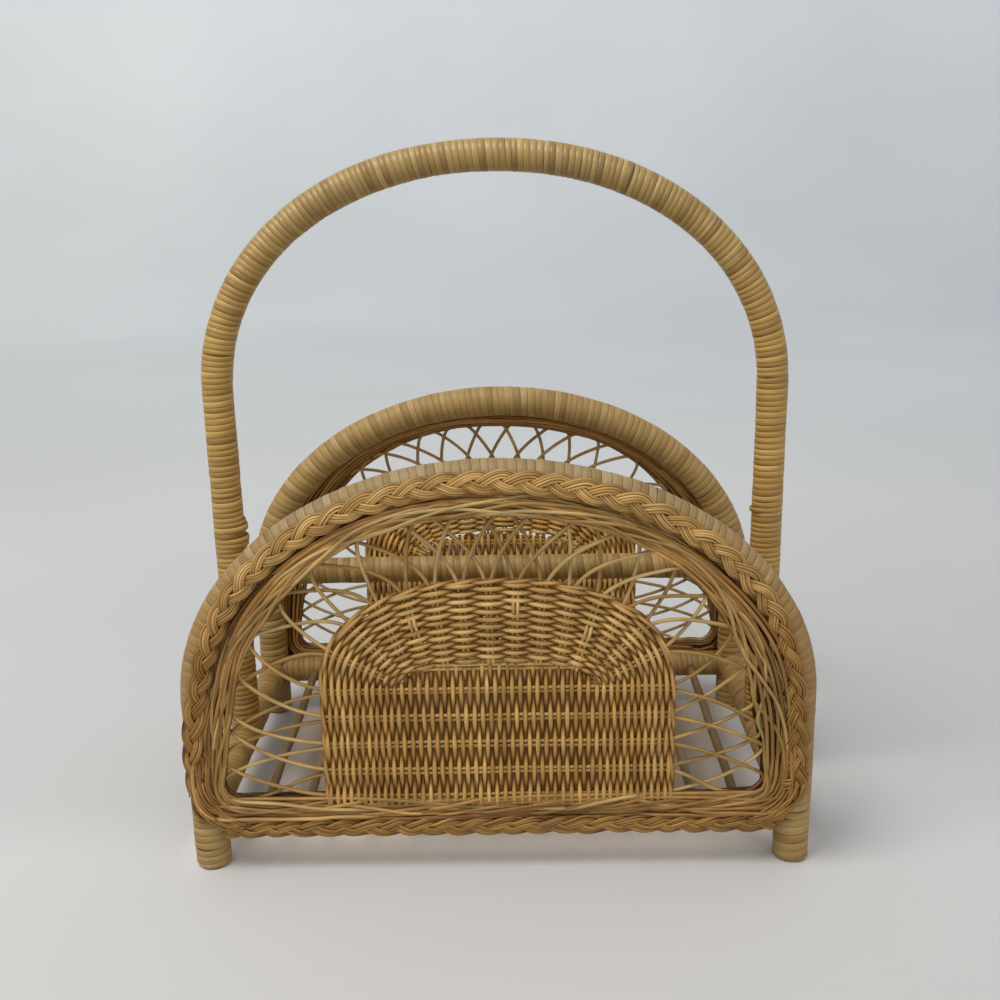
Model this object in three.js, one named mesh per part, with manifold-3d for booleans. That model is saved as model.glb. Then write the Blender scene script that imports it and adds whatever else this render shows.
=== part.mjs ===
// A wicker magazine basket: two arched panels, a slatted floor and a carrying handle between them.
// Millimetres, +Z up, the front panel towards -Y, the origin on the floor below the middle.
import * as THREE from "three";
import { mergeVertices } from "three/addons/utils/BufferGeometryUtils.js";
import Module from "manifold-3d";

const wasm = await Module();
wasm.setup();

// Driving dimensions
const basketWidth = 382; // over the outer sides of the hoops' legs
const basketHeight = 433.3; // from the floor to the top of the handle
const hoopSpacing = 216; // axis to axis of the front and rear hoops
const fitGap = 0.3; // left between pieces that touch

// Every pole is a cane core wound with flat peel; its diameter is taken over the peel
const peelThickness = 1;

// Panel hoops, each one bent pole that stands on its own two ends
const hoopDiameter = 22;
const footBare = 1; // bare core between the floor and the first turn of peel
const hoopSpring = 109; // height at which the straight legs turn into the arch
const hoopRise = 138; // from there to the crown, on the pole's axis
const hoopFullness = 2;

// Carrying handle
const handleDiameter = 20.6;
const handleSpring = 276;
const handleFullness = 2.08; // an ellipse is 2, and more is squarer at the shoulders
const saddleDepth = 5; // how far its ends reach down over the side rails

// Rails between the legs, and the bar that divides the basket
const railDiameter = 20;
const railHeight = 34;
const dividerDiameter = 18;
const dividerHeight = 154;

// Floor slats
const slatDiameter = 6;
const slatMargin = 33; // from a side rail's axis to the nearest slat's
const slatCount = 12;

// Border of bunched reeds round each panel's open field
const borderLap = 2.9; // how far it laps over the front of the pole
const borderDepth = 7.2;
const borderLegWidth = 8.4;
const borderCrownWidth = 16;
const borderSillWidth = 9.2;
const fieldSpring = 85;
const fieldCorner = 13;
const borderStrands = 4;
const borderTwists = 7;
const borderValleyShare = 0.82;
const borderStep = 22;
const borderLeastSteps = 4; // on each stretch of its outline

// Woven centre: upright weavers, and round them the weavers that arch over the top
const netLegBand = 60.5; // open net left between the woven centre and the border at the legs
const netCrownBand = 36.4; // and over the crown
const weaveSpring = 120;
const weaveThickness = 6;
const archLegWidth = 43;
const archCrownWidth = 49;
const weaveCrossing = 2.8; // thickness of the arch midway between stakes, where its weavers cross
const archRows = 7; // rows of weavers across the arch that the solid shows
const ribPitch = 5.4;
const ribDepth = 1.1;
const domeFullness = 2.3;

// Stakes that fan out from the woven centre in crossing pairs
const stakePitch = 17;
const stakeDiameter = 3;
const stakeDrift = 24; // sideways run of each stake, measured along the woven edge
const stakeLapShare = 0.5;
const stakeBendShare = 0.5;

// Plaits on the face of the hoop and along the sill
const plaitThickness = 4.4;
const plaitLobePitch = 18.5;
const plaitWaistShare = 0.82;
const plaitShoulderShare = 0.62;
const plaitFoot = 55;
const sillPlaitWidth = 16;
const sillPlaitDrop = 3; // its middle lies this far below the rail's axis
const sillPlaitInset = 15; // from the leg's axis to its end

// How finely the forms are cut
const windingSides = 10;
const coreSides = 6;
const slatSides = 8;
const stakeSides = 4;
const archSteps = 18;
const archDivisions = 360; // of a true curve that steps are spaced along
const stakeSteps = 3;
const overrun = 4; // extra length for pieces that a cut trims

// Sizes that follow from those above
const hoopRadius = hoopDiameter / 2;
const legX = basketWidth / 2 - hoopRadius;
const handleRadius = handleDiameter / 2;
const railRadius = railDiameter / 2;
const handleRise = basketHeight - handleRadius - handleSpring;
const borderReach = hoopRadius - borderLap; // from the pole's axis to the border's outer edge
const panelForward = Math.sqrt(
  (hoopRadius + fitGap + borderLegWidth / 2) ** 2 - (borderReach + borderLegWidth / 2) ** 2,
);
const fieldHalfWidth = legX - borderReach - borderLegWidth;
const fieldRise = hoopSpring + hoopRise - borderReach - borderCrownWidth - fieldSpring;
const sillMiddle =
  railHeight + Math.sqrt((railRadius + fitGap + borderSillWidth / 2) ** 2 - panelForward ** 2);
const sillTop = sillMiddle + borderSillWidth / 2;
const weaveFoot = sillTop + fitGap;
const weaveHalfWidth = fieldHalfWidth - netLegBand;
const weaveCrown = fieldSpring + fieldRise - netCrownBand;

// Materials
const peel = new THREE.MeshStandardMaterial({ color: 0xb08a55, roughness: 0.5, metalness: 0 });
const reed = new THREE.MeshStandardMaterial({ color: 0xa67f47, roughness: 0.65, metalness: 0 });
const cane = new THREE.MeshStandardMaterial({ color: 0x9a7a4a, roughness: 0.6, metalness: 0 });

// Two straight legs joined by half an ellipse, from the left foot to the right one.
function archPath(halfWidth, foot, spring, rise) {
  return new THREE.Path()
    .moveTo(-halfWidth, foot)
    .lineTo(-halfWidth, spring)
    .absellipse(0, spring, halfWidth, rise, Math.PI, 0, true)
    .lineTo(halfWidth, foot);
}

// A point on half a superellipse, from left to right as t runs from 0 to 1; its fullness is 2 for an ellipse.
function domePoint(t, halfWidth, spring, rise, fullness) {
  const angle = Math.PI * (1 - t);
  const across = Math.sign(Math.cos(angle)) * Math.abs(Math.cos(angle)) ** (2 / fullness);
  const up = Math.max(Math.sin(angle), 0) ** (2 / fullness);
  return new THREE.Vector2(halfWidth * across, spring + rise * up);
}

function tube(curve, radius, sides, steps) {
  const section = new THREE.Shape().absarc(0, 0, radius, 0, 2 * Math.PI, false);
  return new THREE.ExtrudeGeometry(section, {
    extrudePath: curve,
    steps,
    curveSegments: sides / 2,
    bevelEnabled: false,
  });
}

function rod(from, to, radius, sides) {
  return tube(new THREE.LineCurve3(from, to), radius, sides, 1);
}

// A round bar bent to an upright arch, with its rings at the same places whatever its radius and foot.
function archBar(radius, sides, foot, spring, rise, fullness) {
  const places = Array.from({ length: archDivisions + 1 }, (_, k) => k / archDivisions);
  const arch = new THREE.Path().setFromPoints(
    places.map((t) => domePoint(t, legX, spring, rise, fullness)),
  );
  const points = [
    new THREE.Vector2(-legX, foot),
    ...arch.getSpacedPoints(archSteps),
    new THREE.Vector2(legX, foot),
  ];
  const circle = Array.from({ length: sides }, (_, k) => {
    const angle = (2 * Math.PI * k) / sides;
    return new THREE.Vector2(radius * Math.cos(angle), radius * Math.sin(angle));
  });
  const rings = points.map((point, station) => {
    const out = leftOf(points, station, false);
    return circle.map(({ x, y }) => new THREE.Vector3(point.x + out.x * x, -y, point.y + out.y * x));
  });
  return loft(rings, circle);
}

function hasLength(curve) {
  return curve.getLength() > fitGap;
}

// A flat outline given thickness along Y, with its middle in the plane y.
function slab(shape, thickness, y) {
  return new THREE.ExtrudeGeometry(shape, { depth: thickness, bevelEnabled: false })
    .translate(0, 0, -thickness / 2)
    .rotateX(Math.PI / 2)
    .translate(0, y, 0);
}

// A skin through rings of points, closed on itself or capped by the triangles of its flat section.
function loft(rings, section) {
  const count = rings[0].length;
  const spans = section ? rings.length - 1 : rings.length;
  const faces = [];
  for (let ring = 0; ring < spans; ring++) {
    const here = ring * count;
    const there = ((ring + 1) % rings.length) * count;
    for (let k = 0; k < count; k++) {
      const next = (k + 1) % count;
      faces.push(here + k, here + next, there + next, here + k, there + next, there + k);
    }
  }
  if (section) {
    const last = (rings.length - 1) * count;
    for (const [a, b, c] of THREE.ShapeUtils.triangulateShape(section, [])) {
      faces.push(a, c, b, last + a, last + b, last + c);
    }
  }
  return new THREE.BufferGeometry().setFromPoints(rings.flat()).setIndex(faces);
}

// The sideways direction of a flat path at one of its points, to the left of its run.
function leftOf(points, index, closed) {
  const last = points.length - 1;
  const before = points[index > 0 ? index - 1 : closed ? last : 0];
  const after = points[index < last ? index + 1 : closed ? 0 : last];
  const arrival = points[index].clone().sub(before).normalize();
  const run = after.clone().sub(points[index]).normalize().add(arrival).normalize();
  return new THREE.Vector2(-run.y, run.x);
}

function solidOf(geometry) {
  const bare = geometry.clone();
  bare.deleteAttribute("normal");
  bare.deleteAttribute("uv");
  const merged = mergeVertices(bare);
  return new wasm.Manifold(
    new wasm.Mesh({
      numProp: 3,
      vertProperties: merged.attributes.position.array,
      triVerts: new Uint32Array(merged.index.array),
    }),
  );
}

function geometryOf(solid) {
  const { vertProperties, triVerts } = solid.getMesh();
  const geometry = new THREE.BufferGeometry();
  geometry.setAttribute("position", new THREE.BufferAttribute(vertProperties, 3));
  geometry.setIndex(new THREE.BufferAttribute(triVerts, 1));
  return geometry;
}

function place(group, name, geometry, material) {
  geometry.computeVertexNormals();
  const mesh = new THREE.Mesh(geometry, material);
  mesh.name = name;
  group.add(mesh);
}

// Poles: each function gives the bare bar for a radius, longer at both ends by extra

function hoopBar(radius, sides, extra) {
  return archBar(radius, sides, -extra, hoopSpring, hoopRise, hoopFullness);
}

function handleBar(radius, sides, extra) {
  const foot = railHeight + railRadius - saddleDepth;
  return archBar(radius, sides, foot - extra, handleSpring, handleRise, handleFullness);
}

function crossBar(height, radius, sides, extra) {
  const reach = legX + extra;
  return rod(new THREE.Vector3(-reach, 0, height), new THREE.Vector3(reach, 0, height), radius, sides);
}

function sideBar(x, radius, sides, extra) {
  const reach = hoopSpacing / 2 + extra;
  const from = new THREE.Vector3(x, -reach, railHeight);
  return rod(from, new THREE.Vector3(x, reach, railHeight), radius, sides);
}

// A pole's core and the winding round it, both trimmed by the poles that it meets.
function placePole(group, name, bar, diameter, bare, cuts) {
  const radius = diameter / 2;
  const trim = (solid) => geometryOf(cuts.reduce((rest, cut) => rest.subtract(cut), solid));
  const core = solidOf(bar(radius - peelThickness - fitGap, coreSides, 0));
  const bore = solidOf(bar(radius - peelThickness, coreSides, overrun));
  const winding = solidOf(bar(radius, windingSides, -bare)).subtract(bore);
  place(group, name + "_core", trim(core), cane);
  place(group, name + "_winding", trim(winding), peel);
}

// Panel pieces, with the hoop's axis in the plane y = 0 and the panel's face towards -Y

// The outline of the open field inside the border, clockwise from the left leg.
function fieldShape(inset) {
  const halfWidth = fieldHalfWidth - inset;
  const corner = fieldCorner - inset;
  const floor = sillTop + inset;
  return new THREE.Shape()
    .moveTo(-halfWidth, floor + corner)
    .lineTo(-halfWidth, fieldSpring)
    .absellipse(0, fieldSpring, halfWidth, fieldRise - inset, Math.PI, 0, true)
    .lineTo(halfWidth, floor + corner)
    .absarc(halfWidth - corner, floor + corner, corner, 0, -Math.PI / 2, true)
    .lineTo(corner - halfWidth, floor)
    .absarc(corner - halfWidth, floor + corner, corner, -Math.PI / 2, -Math.PI, true);
}

// The same outline as points, with as many on each stretch whatever the inset.
function fieldOutline(inset) {
  const stretches = (shape) => shape.curves.filter(hasLength);
  const lengths = stretches(fieldShape(0)).map((curve) => curve.getLength());
  return stretches(fieldShape(inset)).flatMap((curve, stretch) => {
    const steps = Math.max(borderLeastSteps, Math.round(lengths[stretch] / borderStep));
    return curve.getSpacedPoints(steps).slice(1);
  });
}

// Bunched reeds: a lobed section that turns slowly as it goes round, wider over the crown.
function border() {
  const outline = fieldOutline(0);
  const sectionPoints = 2 * borderStrands;
  const rings = outline.map((point, station) => {
    const out = leftOf(outline, station, true);
    const climb = Math.max(0, (point.y - fieldSpring) / fieldRise);
    const level = point.y <= sillTop + fieldCorner ? borderSillWidth : borderLegWidth;
    const width = level + (borderCrownWidth - level) * climb;
    const turn = (2 * Math.PI * borderTwists * station) / outline.length;
    return Array.from({ length: sectionPoints }, (_, k) => {
      const angle = (2 * Math.PI * k) / sectionPoints;
      const lobe = 1 - ((1 - borderValleyShare) * (1 + Math.cos(borderStrands * angle + turn))) / 2;
      const across = (width / 2) * (1 + lobe * Math.cos(angle));
      const forward = (borderDepth / 2) * lobe * Math.sin(angle);
      return new THREE.Vector3(
        point.x + out.x * across,
        -panelForward - forward,
        point.y + out.y * across,
      );
    });
  });
  return loft(rings);
}

// A point on the woven centre's outer edge, which runs up one leg, over the dome and down the other, each
// in a third of t. A share of the arch's width moves it inwards, and grow moves it out.
function weavePoint(t, share, grow) {
  const halfWidth = weaveHalfWidth - archLegWidth * share + grow;
  const rise = weaveCrown - weaveSpring - archCrownWidth * share + grow;
  const stretch = 3 * t;
  if (stretch < 1) return new THREE.Vector2(-halfWidth, weaveFoot + (weaveSpring - weaveFoot) * stretch);
  if (stretch > 2) return new THREE.Vector2(halfWidth, weaveFoot + (weaveSpring - weaveFoot) * (3 - stretch));
  return domePoint(stretch - 1, halfWidth, weaveSpring, rise, domeFullness);
}

// The edge as points, one midway between each two pairs of stakes.
function weaveEdge(share, grow = 0) {
  const outer = new THREE.Curve();
  outer.getPoint = (t) => weavePoint(t, 0, 0);
  outer.arcLengthDivisions = archDivisions;
  const pairs = Math.floor(outer.getLength() / stakePitch);
  return Array.from({ length: pairs + 1 }, (_, k) => {
    return weavePoint(outer.getUtoTmapping(k / pairs), share, grow);
  });
}

// Weavers that run up one side, over the top and down the other. Midway between stakes they cross in the
// middle plane, and at each pair of stakes they pass over it on the front and on the back in turn.
function wovenArch() {
  const shares = Array.from({ length: archRows + 1 }, (_, k) => k / archRows);
  const rows = shares.map((share) => weaveEdge(share));
  const crossing = shares.map(() => weaveCrossing / 2);
  const ring = (points, front, back) => [
    ...points.map((point, k) => new THREE.Vector3(point.x, -panelForward - front[k], point.y)),
    ...points.map((point, k) => new THREE.Vector3(point.x, back[k] - panelForward, point.y)).reverse(),
  ];
  const rings = rows[0].flatMap((_, pair) => {
    const here = rows.map((row) => row[pair]);
    const between = ring(here, crossing, crossing);
    if (pair === rows[0].length - 1) return [between];
    const middle = rows.map((row, k) => here[k].clone().lerp(row[pair + 1], 1 / 2));
    const [over, under] = [0, 1].map((turn) =>
      shares.map((_, k) => ((k + pair + turn) % 2 ? stakeDiameter : weaveThickness) / 2),
    );
    return [between, ring(middle, over, under)];
  });
  const face = shares.map((share) => share * archLegWidth);
  const section = [
    ...face.map((across) => new THREE.Vector2(across, -weaveCrossing / 2)),
    ...face.map((across) => new THREE.Vector2(across, weaveCrossing / 2)).reverse(),
  ];
  return loft(rings, section);
}

// Upright weavers inside the arch: a ribbed plate, cut to the arch's inner edge.
function wovenField() {
  const halfWidth = weaveHalfWidth - archLegWidth;
  const ribs = Math.round((2 * halfWidth) / ribPitch);
  const front = Array.from({ length: 2 * ribs + 1 }, (_, k) => {
    const depth = weaveThickness / 2 - (k % 2 ? 0 : ribDepth);
    return new THREE.Vector2(-halfWidth + (k * halfWidth) / ribs, -depth);
  });
  const back = front.map((point) => new THREE.Vector2(point.x, -point.y)).reverse();
  const plate = new THREE.ExtrudeGeometry(new THREE.Shape([...front, ...back]), {
    depth: weaveCrown - weaveFoot,
    bevelEnabled: false,
  }).translate(0, -panelForward, weaveFoot);
  const within = slab(new THREE.Shape(weaveEdge(1, -fitGap)), 2 * weaveThickness, -panelForward);
  return geometryOf(solidOf(plate).intersect(solidOf(within)));
}

// Stakes leave the woven edge in twins and part to either side, one layer lying over the other.
function lattice() {
  const edge = new THREE.Path().setFromPoints(weaveEdge(0));
  const rim = archPath(fieldHalfWidth, sillTop, fieldSpring, fieldRise);
  const edgeLength = edge.getLength();
  const rimLength = rim.getLength();
  const legLength = weaveSpring - weaveFoot;
  const pairs = edge.curves.length;
  let net = null;
  for (let pair = 0; pair < pairs; pair++) {
    const span = edge.curves[pair];
    const along = ((pair + 1 / 2) * edgeLength) / pairs;
    const root = span.getPoint(1 / 2);
    const run = span.getTangent(1 / 2);
    const out = new THREE.Vector2(-run.y, run.x);
    for (const side of [-1, 1]) {
      const aim = along + side * stakeDrift;
      const overTop = THREE.MathUtils.clamp((aim - legLength) / (edgeLength - 2 * legLength), 0, 1);
      const tip = rimPoint(rim, rimLength, aim + (rimLength - edgeLength) * overTop);
      const bend = root.clone().addScaledVector(out, root.distanceTo(tip) * stakeBendShare);
      const start = root.clone().addScaledVector(out, -overrun);
      start.addScaledVector(run, (-side * stakeDiameter) / 4);
      const end = tip.clone().add(tip.clone().sub(bend).setLength(overrun));
      const y = -panelForward + (side * stakeLapShare * stakeDiameter) / 2;
      const [a, b, c] = [start, bend, end].map((point) => new THREE.Vector3(point.x, y, point.y));
      const curve = new THREE.QuadraticBezierCurve3(a, b, c);
      const stake = solidOf(tube(curve, stakeDiameter / 2, stakeSides, stakeSteps));
      net = net ? net.add(stake) : stake;
    }
  }
  const field = new THREE.Shape(fieldOutline(fitGap));
  const hole = [
    new THREE.Vector2(-weaveHalfWidth - fitGap, sillTop - overrun),
    ...weaveEdge(0, fitGap),
    new THREE.Vector2(weaveHalfWidth + fitGap, sillTop - overrun),
  ];
  const within = solidOf(slab(field, 2 * stakeDiameter, -panelForward));
  const centre = solidOf(slab(new THREE.Shape(hole), 2 * stakeDiameter, -panelForward));
  return geometryOf(net.intersect(within).subtract(centre));
}

// A point along the rim, which goes on along the sill past either foot.
function rimPoint(rim, rimLength, target) {
  if (target < 0) return new THREE.Vector2(-fieldHalfWidth - target, sillTop);
  if (target > rimLength) return new THREE.Vector2(fieldHalfWidth + rimLength - target, sillTop);
  return rim.getPointAt(target / rimLength);
}

// A flat plait: its two edges swell in turn, a lobe for each strand that comes round.
function plait(path, width, backY) {
  const lobes = Math.round(path.getLength() / plaitLobePitch);
  const points = path.getSpacedPoints(2 * lobes);
  const shoulder = (plaitShoulderShare * width) / 2;
  const rings = points.map((point, station) => {
    const out = leftOf(points, station, false);
    const outer = (width / 2) * (station % 2 ? 1 : plaitWaistShare);
    const inner = (width / 2) * (station % 2 ? plaitWaistShare : 1);
    const section = [
      [outer, plaitThickness / 2],
      [shoulder, plaitThickness],
      [-shoulder, plaitThickness],
      [-inner, plaitThickness / 2],
      [-shoulder, 0],
      [shoulder, 0],
    ];
    return section.map(([across, forward]) => {
      return new THREE.Vector3(point.x + out.x * across, -backY - forward, point.y + out.y * across);
    });
  });
  const cap = [
    new THREE.Vector2(width / 2, plaitThickness / 2),
    new THREE.Vector2(shoulder, plaitThickness),
    new THREE.Vector2(-shoulder, plaitThickness),
    new THREE.Vector2(-width / 2, plaitThickness / 2),
    new THREE.Vector2(-shoulder, 0),
    new THREE.Vector2(shoulder, 0),
  ];
  return loft(rings, cap);
}

function sillPath() {
  const reach = legX - sillPlaitInset;
  const height = railHeight - sillPlaitDrop;
  return new THREE.Path().moveTo(-reach, height).lineTo(reach, height);
}

function panel(name) {
  const group = new THREE.Group();
  const hoopPlait = archPath(legX, plaitFoot, hoopSpring, hoopRise);
  const legCut = solidOf(hoopBar(hoopRadius + fitGap, windingSides, overrun));
  placePole(group, name + "_hoop", hoopBar, hoopDiameter, footBare, []);
  placePole(group, name + "_rail", (...size) => crossBar(railHeight, ...size), railDiameter, 0, [legCut]);
  place(group, name + "_border_bundle", border(), reed);
  place(group, name + "_woven_arch", wovenArch(), reed);
  place(group, name + "_woven_centre", wovenField(), reed);
  place(group, name + "_stake_lattice", lattice(), reed);
  const hoopPlaitWidth = 2 * (borderReach - fitGap);
  place(group, name + "_hoop_plait", plait(hoopPlait, hoopPlaitWidth, hoopRadius + fitGap), reed);
  place(group, name + "_sill_plait", plait(sillPath(), sillPlaitWidth, railRadius + fitGap), reed);
  return group;
}

// The basket
const basket = new THREE.Group();

const front = panel("front");
front.position.y = -hoopSpacing / 2;
basket.add(front);

const rear = panel("rear");
rear.position.y = hoopSpacing / 2;
rear.rotation.z = Math.PI;
basket.add(rear);

// The side rails are coped round the legs and round the front and rear rails.
const railCuts = [-1, 1].flatMap((side) =>
  [
    hoopBar(hoopRadius + fitGap, windingSides, overrun),
    crossBar(railHeight, railRadius + fitGap, windingSides, 0),
  ].map((cut) => solidOf(cut.translate(0, (side * hoopSpacing) / 2, 0))),
);
for (const [name, side] of [["left_rail", -1], ["right_rail", 1]]) {
  placePole(basket, name, (...size) => sideBar(side * legX, ...size), railDiameter, 0, railCuts);
}

// The handle straddles the side rails, and the divider ends against its legs.
const saddles = [-1, 1].map((side) =>
  solidOf(sideBar(side * legX, railRadius + fitGap, windingSides, 0)),
);
placePole(basket, "handle", handleBar, handleDiameter, 0, saddles);
const handleCut = solidOf(handleBar(handleRadius + fitGap, windingSides, 0));
const dividerBar = (...size) => crossBar(dividerHeight, ...size);
placePole(basket, "divider", dividerBar, dividerDiameter, 0, [handleCut]);

const slatReach = hoopSpacing / 2 - railRadius - fitGap;
const outerSlat = legX - slatMargin;
for (let slat = 0; slat < slatCount; slat++) {
  const x = ((2 * slat) / (slatCount - 1) - 1) * outerSlat;
  const from = new THREE.Vector3(x, -slatReach, railHeight);
  const to = new THREE.Vector3(x, slatReach, railHeight);
  const name = "slat_" + String(slat + 1).padStart(2, "0");
  place(basket, name, rod(from, to, slatDiameter / 2, slatSides), cane);
}

export default basket;
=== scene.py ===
import math

import bmesh
import bpy
import numpy as np
from mathutils import Matrix, Vector


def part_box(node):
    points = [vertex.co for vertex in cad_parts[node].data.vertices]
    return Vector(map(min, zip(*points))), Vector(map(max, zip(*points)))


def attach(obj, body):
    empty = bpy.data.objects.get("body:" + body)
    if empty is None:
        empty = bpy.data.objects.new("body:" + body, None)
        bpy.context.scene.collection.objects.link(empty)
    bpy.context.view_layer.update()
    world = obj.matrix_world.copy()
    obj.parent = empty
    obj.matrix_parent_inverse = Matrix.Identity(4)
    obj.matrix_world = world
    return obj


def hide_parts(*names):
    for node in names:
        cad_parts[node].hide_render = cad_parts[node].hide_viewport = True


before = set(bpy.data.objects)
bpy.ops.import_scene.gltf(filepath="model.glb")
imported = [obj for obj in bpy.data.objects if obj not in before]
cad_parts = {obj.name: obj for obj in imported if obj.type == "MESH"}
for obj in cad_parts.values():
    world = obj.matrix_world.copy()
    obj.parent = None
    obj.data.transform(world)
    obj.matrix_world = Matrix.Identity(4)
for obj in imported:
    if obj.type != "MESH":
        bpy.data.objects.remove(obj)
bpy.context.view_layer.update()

# Every length is in metres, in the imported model's frame: +Z up, the front panel towards -Y.

# Poles
LEG_X = 0.180
HOOP_Y = 0.108
HOOP_RADIUS = 0.011
HOOP_SPRING = 0.109
HOOP_RISE = 0.138
HANDLE_RADIUS = 0.0103
HANDLE_SPRING = 0.276
HANDLE_RISE = 0.147
HANDLE_FULLNESS = 2.08
HANDLE_FOOT = 0.039
RAIL_RADIUS = 0.010
RAIL_HEIGHT = 0.034
DIVIDER_RADIUS = 0.009
DIVIDER_HEIGHT = 0.154
TUCK = 0.0045  # how far a bar's end stops short of a leg's axis
PEEL_FOOT = 0.001
ELLIPSE = 2.0  # the fullness of an arch whose top is half an ellipse

# The panel's middle plane lies this far in front of the hoop's axis, and this far from the middle
PANEL_FORWARD = 0.00943
PANEL_DEPTH = HOOP_Y + PANEL_FORWARD

# Open field inside the border
FIELD_HALF = 0.1635
FIELD_SPRING = 0.085
FIELD_RISE = 0.1379
FIELD_CORNER = 0.008
SILL_TOP = 0.0501

# Woven centre
WEAVE_HALF = 0.103
WEAVE_SPRING = 0.120
WEAVE_RISE = 0.0665
WEAVE_FULLNESS = 2.3
WEAVE_FOOT = 0.0437
ARCH_LEG_WIDTH = 0.043
ARCH_CROWN_WIDTH = 0.049
REAR_CROWN_WIDTH = 0.043
ARCH_WEAVERS = 21
INNER_WEAVERS = 48
WEAVER_RADIUS = 0.00146
WEAVE_SWING = 0.00215  # from the middle plane to a weaver's own middle where it crosses a stake
SWING_CHANCE = 0.12
ARCH_WEAVER_SHIFT = 0.00036
CENTRE_WEAVER_SHIFT = 0.00024
STEPS_PER_STAKE = 6  # along a weaver, from one stake to the next
LEG_POINTS = 60
TOP_POINTS = 400

# The two reeds twined along the arch's outer edge
TWINE_SHARE = -0.018
TWINE_OUT = 0.00075
TWINE_FORWARD = 0.0020
TWINE_GIRTH = 0.86

# Stakes
STAKE_RADIUS = 0.0011
STAKE_STEP = 0.008
STAKE_SETBACK = 0.0017  # at the inner corner, where the outermost stakes lie deeper
NET_STAKE_RADIUS = 0.0012
TWIN_HALF_GAP = 0.00128
FIRST_ROW = 0.049
ROW_PITCH = 0.0175
LEG_ROWS = 5

# Where the stakes over the top cross the outer and the inner edge of the woven arch
OUTER_STAKE_X = [-0.0985, -0.086, -0.069, -0.052, -0.036, -0.020, -0.004,
                 0.012, 0.028, 0.044, 0.060, 0.075, 0.088, 0.099]
INNER_STAKE_X = [-0.0592, -0.0565, -0.051, -0.042, -0.030, -0.0175, -0.0035,
                 0.0105, 0.0245, 0.037, 0.046, 0.0525, 0.057, 0.0592]
TOP_STAKES = len(OUTER_STAKE_X)
LAST_ROW = 2 * LEG_ROWS + TOP_STAKES - 1

# Stakes that come to the face between two weavers: where each crosses the outer edge, and how far up it shows
SURFACING_STAKES = {-0.052: 0.62, 0.012: 0.70, 0.060: 0.50}

# Open net
LEG_DRIFT = 0.0255
TOP_DRIFT = 0.0195
DRIFT_PAST_FOOT = 2.2  # how much further a stake drifts round the corner, past the lowest row
ELBOW_REACH = 0.011  # a stake's bend where it turns into the bundle
ELBOW_SHARE = 0.16  # how far into the bundle's width that bend is
TAIL_STEP = 0.0035
NET_STEP = 0.0036

# Border bundle
BUNDLE_HEIGHTS = [0.058, 0.066, 0.092, 0.122, 0.150, 0.190, 0.223]
BUNDLE_LEFT_WIDTHS = [0.0135, 0.0145, 0.0145, 0.0120, 0.0135, 0.0155, 0.0172]
BUNDLE_RIGHT_WIDTHS = [0.0135, 0.0135, 0.0140, 0.0140, 0.0150, 0.0160, 0.0172]
BUNDLE_REED = 0.00130
BUNDLE_FILLERS = 18
FILLER_WAVES = (0.31, 0.23, 0.27)
FILLER_LAYERS = (0.0016, -0.0012, -0.0038)
SWEEP_REEDS = 13  # at each lower corner
SILL_CROSSINGS = 26

# How far the bundle's inner edge lies in from an even arch, by height
RIM_HEIGHTS = [0.050, 0.060, 0.070, 0.085, 0.100, 0.115, 0.130, 0.145, 0.160, 0.175, 0.190, 0.205, 0.223]
RIM_LEFT_IN = [-0.0030, -0.0036, -0.0014, 0.0012, 0.0029, 0.0034, 0.0021,
               0.0, 0.0, -0.0012, -0.0042, -0.0058, -0.0046]
RIM_RIGHT_IN = [0.0040, 0.0050, 0.0048, 0.0075, 0.0100, 0.0108, 0.0090,
                0.0066, 0.0036, 0.0006, -0.0030, -0.0044, -0.0046]

# Plaits
PLAIT_REED = 0.00082
PLAIT_REEDS = 4  # in each of a plait's three strands
PLAIT_LEFT_FOOT = 0.052
PLAIT_RIGHT_FOOT = 0.050
SILL_PLAIT_HEIGHT = 0.0308
SILL_PLAIT_HALF = 0.168
SILL_REED = 0.00095
SPLIT_ENDS = 9

# How far the hoop's plait lies out from the pole's foremost line: heights, and what it is there
PLAIT_LEFT_OUT = (
    [0.052, 0.060, 0.070, 0.080, 0.090, 0.100, 0.110, 0.120, 0.130, 0.150, 0.170, 0.235],
    [0.0035, 0.0043, 0.0050, 0.0044, 0.0036, 0.0021, -0.0003, -0.0024, -0.0046, -0.0046, -0.0020, 0.0])
PLAIT_RIGHT_OUT = (
    [0.050, 0.070, 0.080, 0.090, 0.100, 0.110, 0.130, 0.150, 0.160, 0.170, 0.200, 0.235],
    [-0.0009, -0.0011, -0.0015, -0.0024, -0.0036, -0.0049, -0.0063, -0.0058, -0.0043, -0.0033, -0.0020, 0.0])

# Floor
SLAT_RADIUS = 0.003
SLAT_PLACES = 24
SLAT_PAST_END = 0.003  # how far a slat's cane runs on past the CAD slat's ends

LINE_STEP = 0.001
HALF_TURN = np.linspace(math.pi, 0.0, 361)  # over the top of an arch, from left to right


# Lines: every one is an array of points, one per row

def run_lengths(points):
    steps = np.linalg.norm(np.diff(points, axis=0), axis=1)
    return np.concatenate([[0.0], np.cumsum(steps)])


def along(points, lengths, at):
    return np.stack([np.interp(at, lengths, column) for column in points.T], axis=1)


def evenly(points, spacing):
    lengths = run_lengths(points)
    count = max(2, int(round(lengths[-1] / spacing)) + 1)
    return along(points, lengths, np.linspace(0.0, lengths[-1], count))


def unit(rows):
    return rows / np.linalg.norm(rows, axis=1)[:, None]


def directions(points):
    return unit(np.gradient(points, axis=0))


def turned(headings):
    """Directions (x, z), each turned left by a quarter."""
    return np.stack([-headings[..., 1], headings[..., 0]], axis=-1)


def moved_out(path, out):
    """The path (x, z) with every point moved to the left of its heading: its x and its z."""
    return (path + turned(directions(path)) * out[:, None]).T


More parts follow.
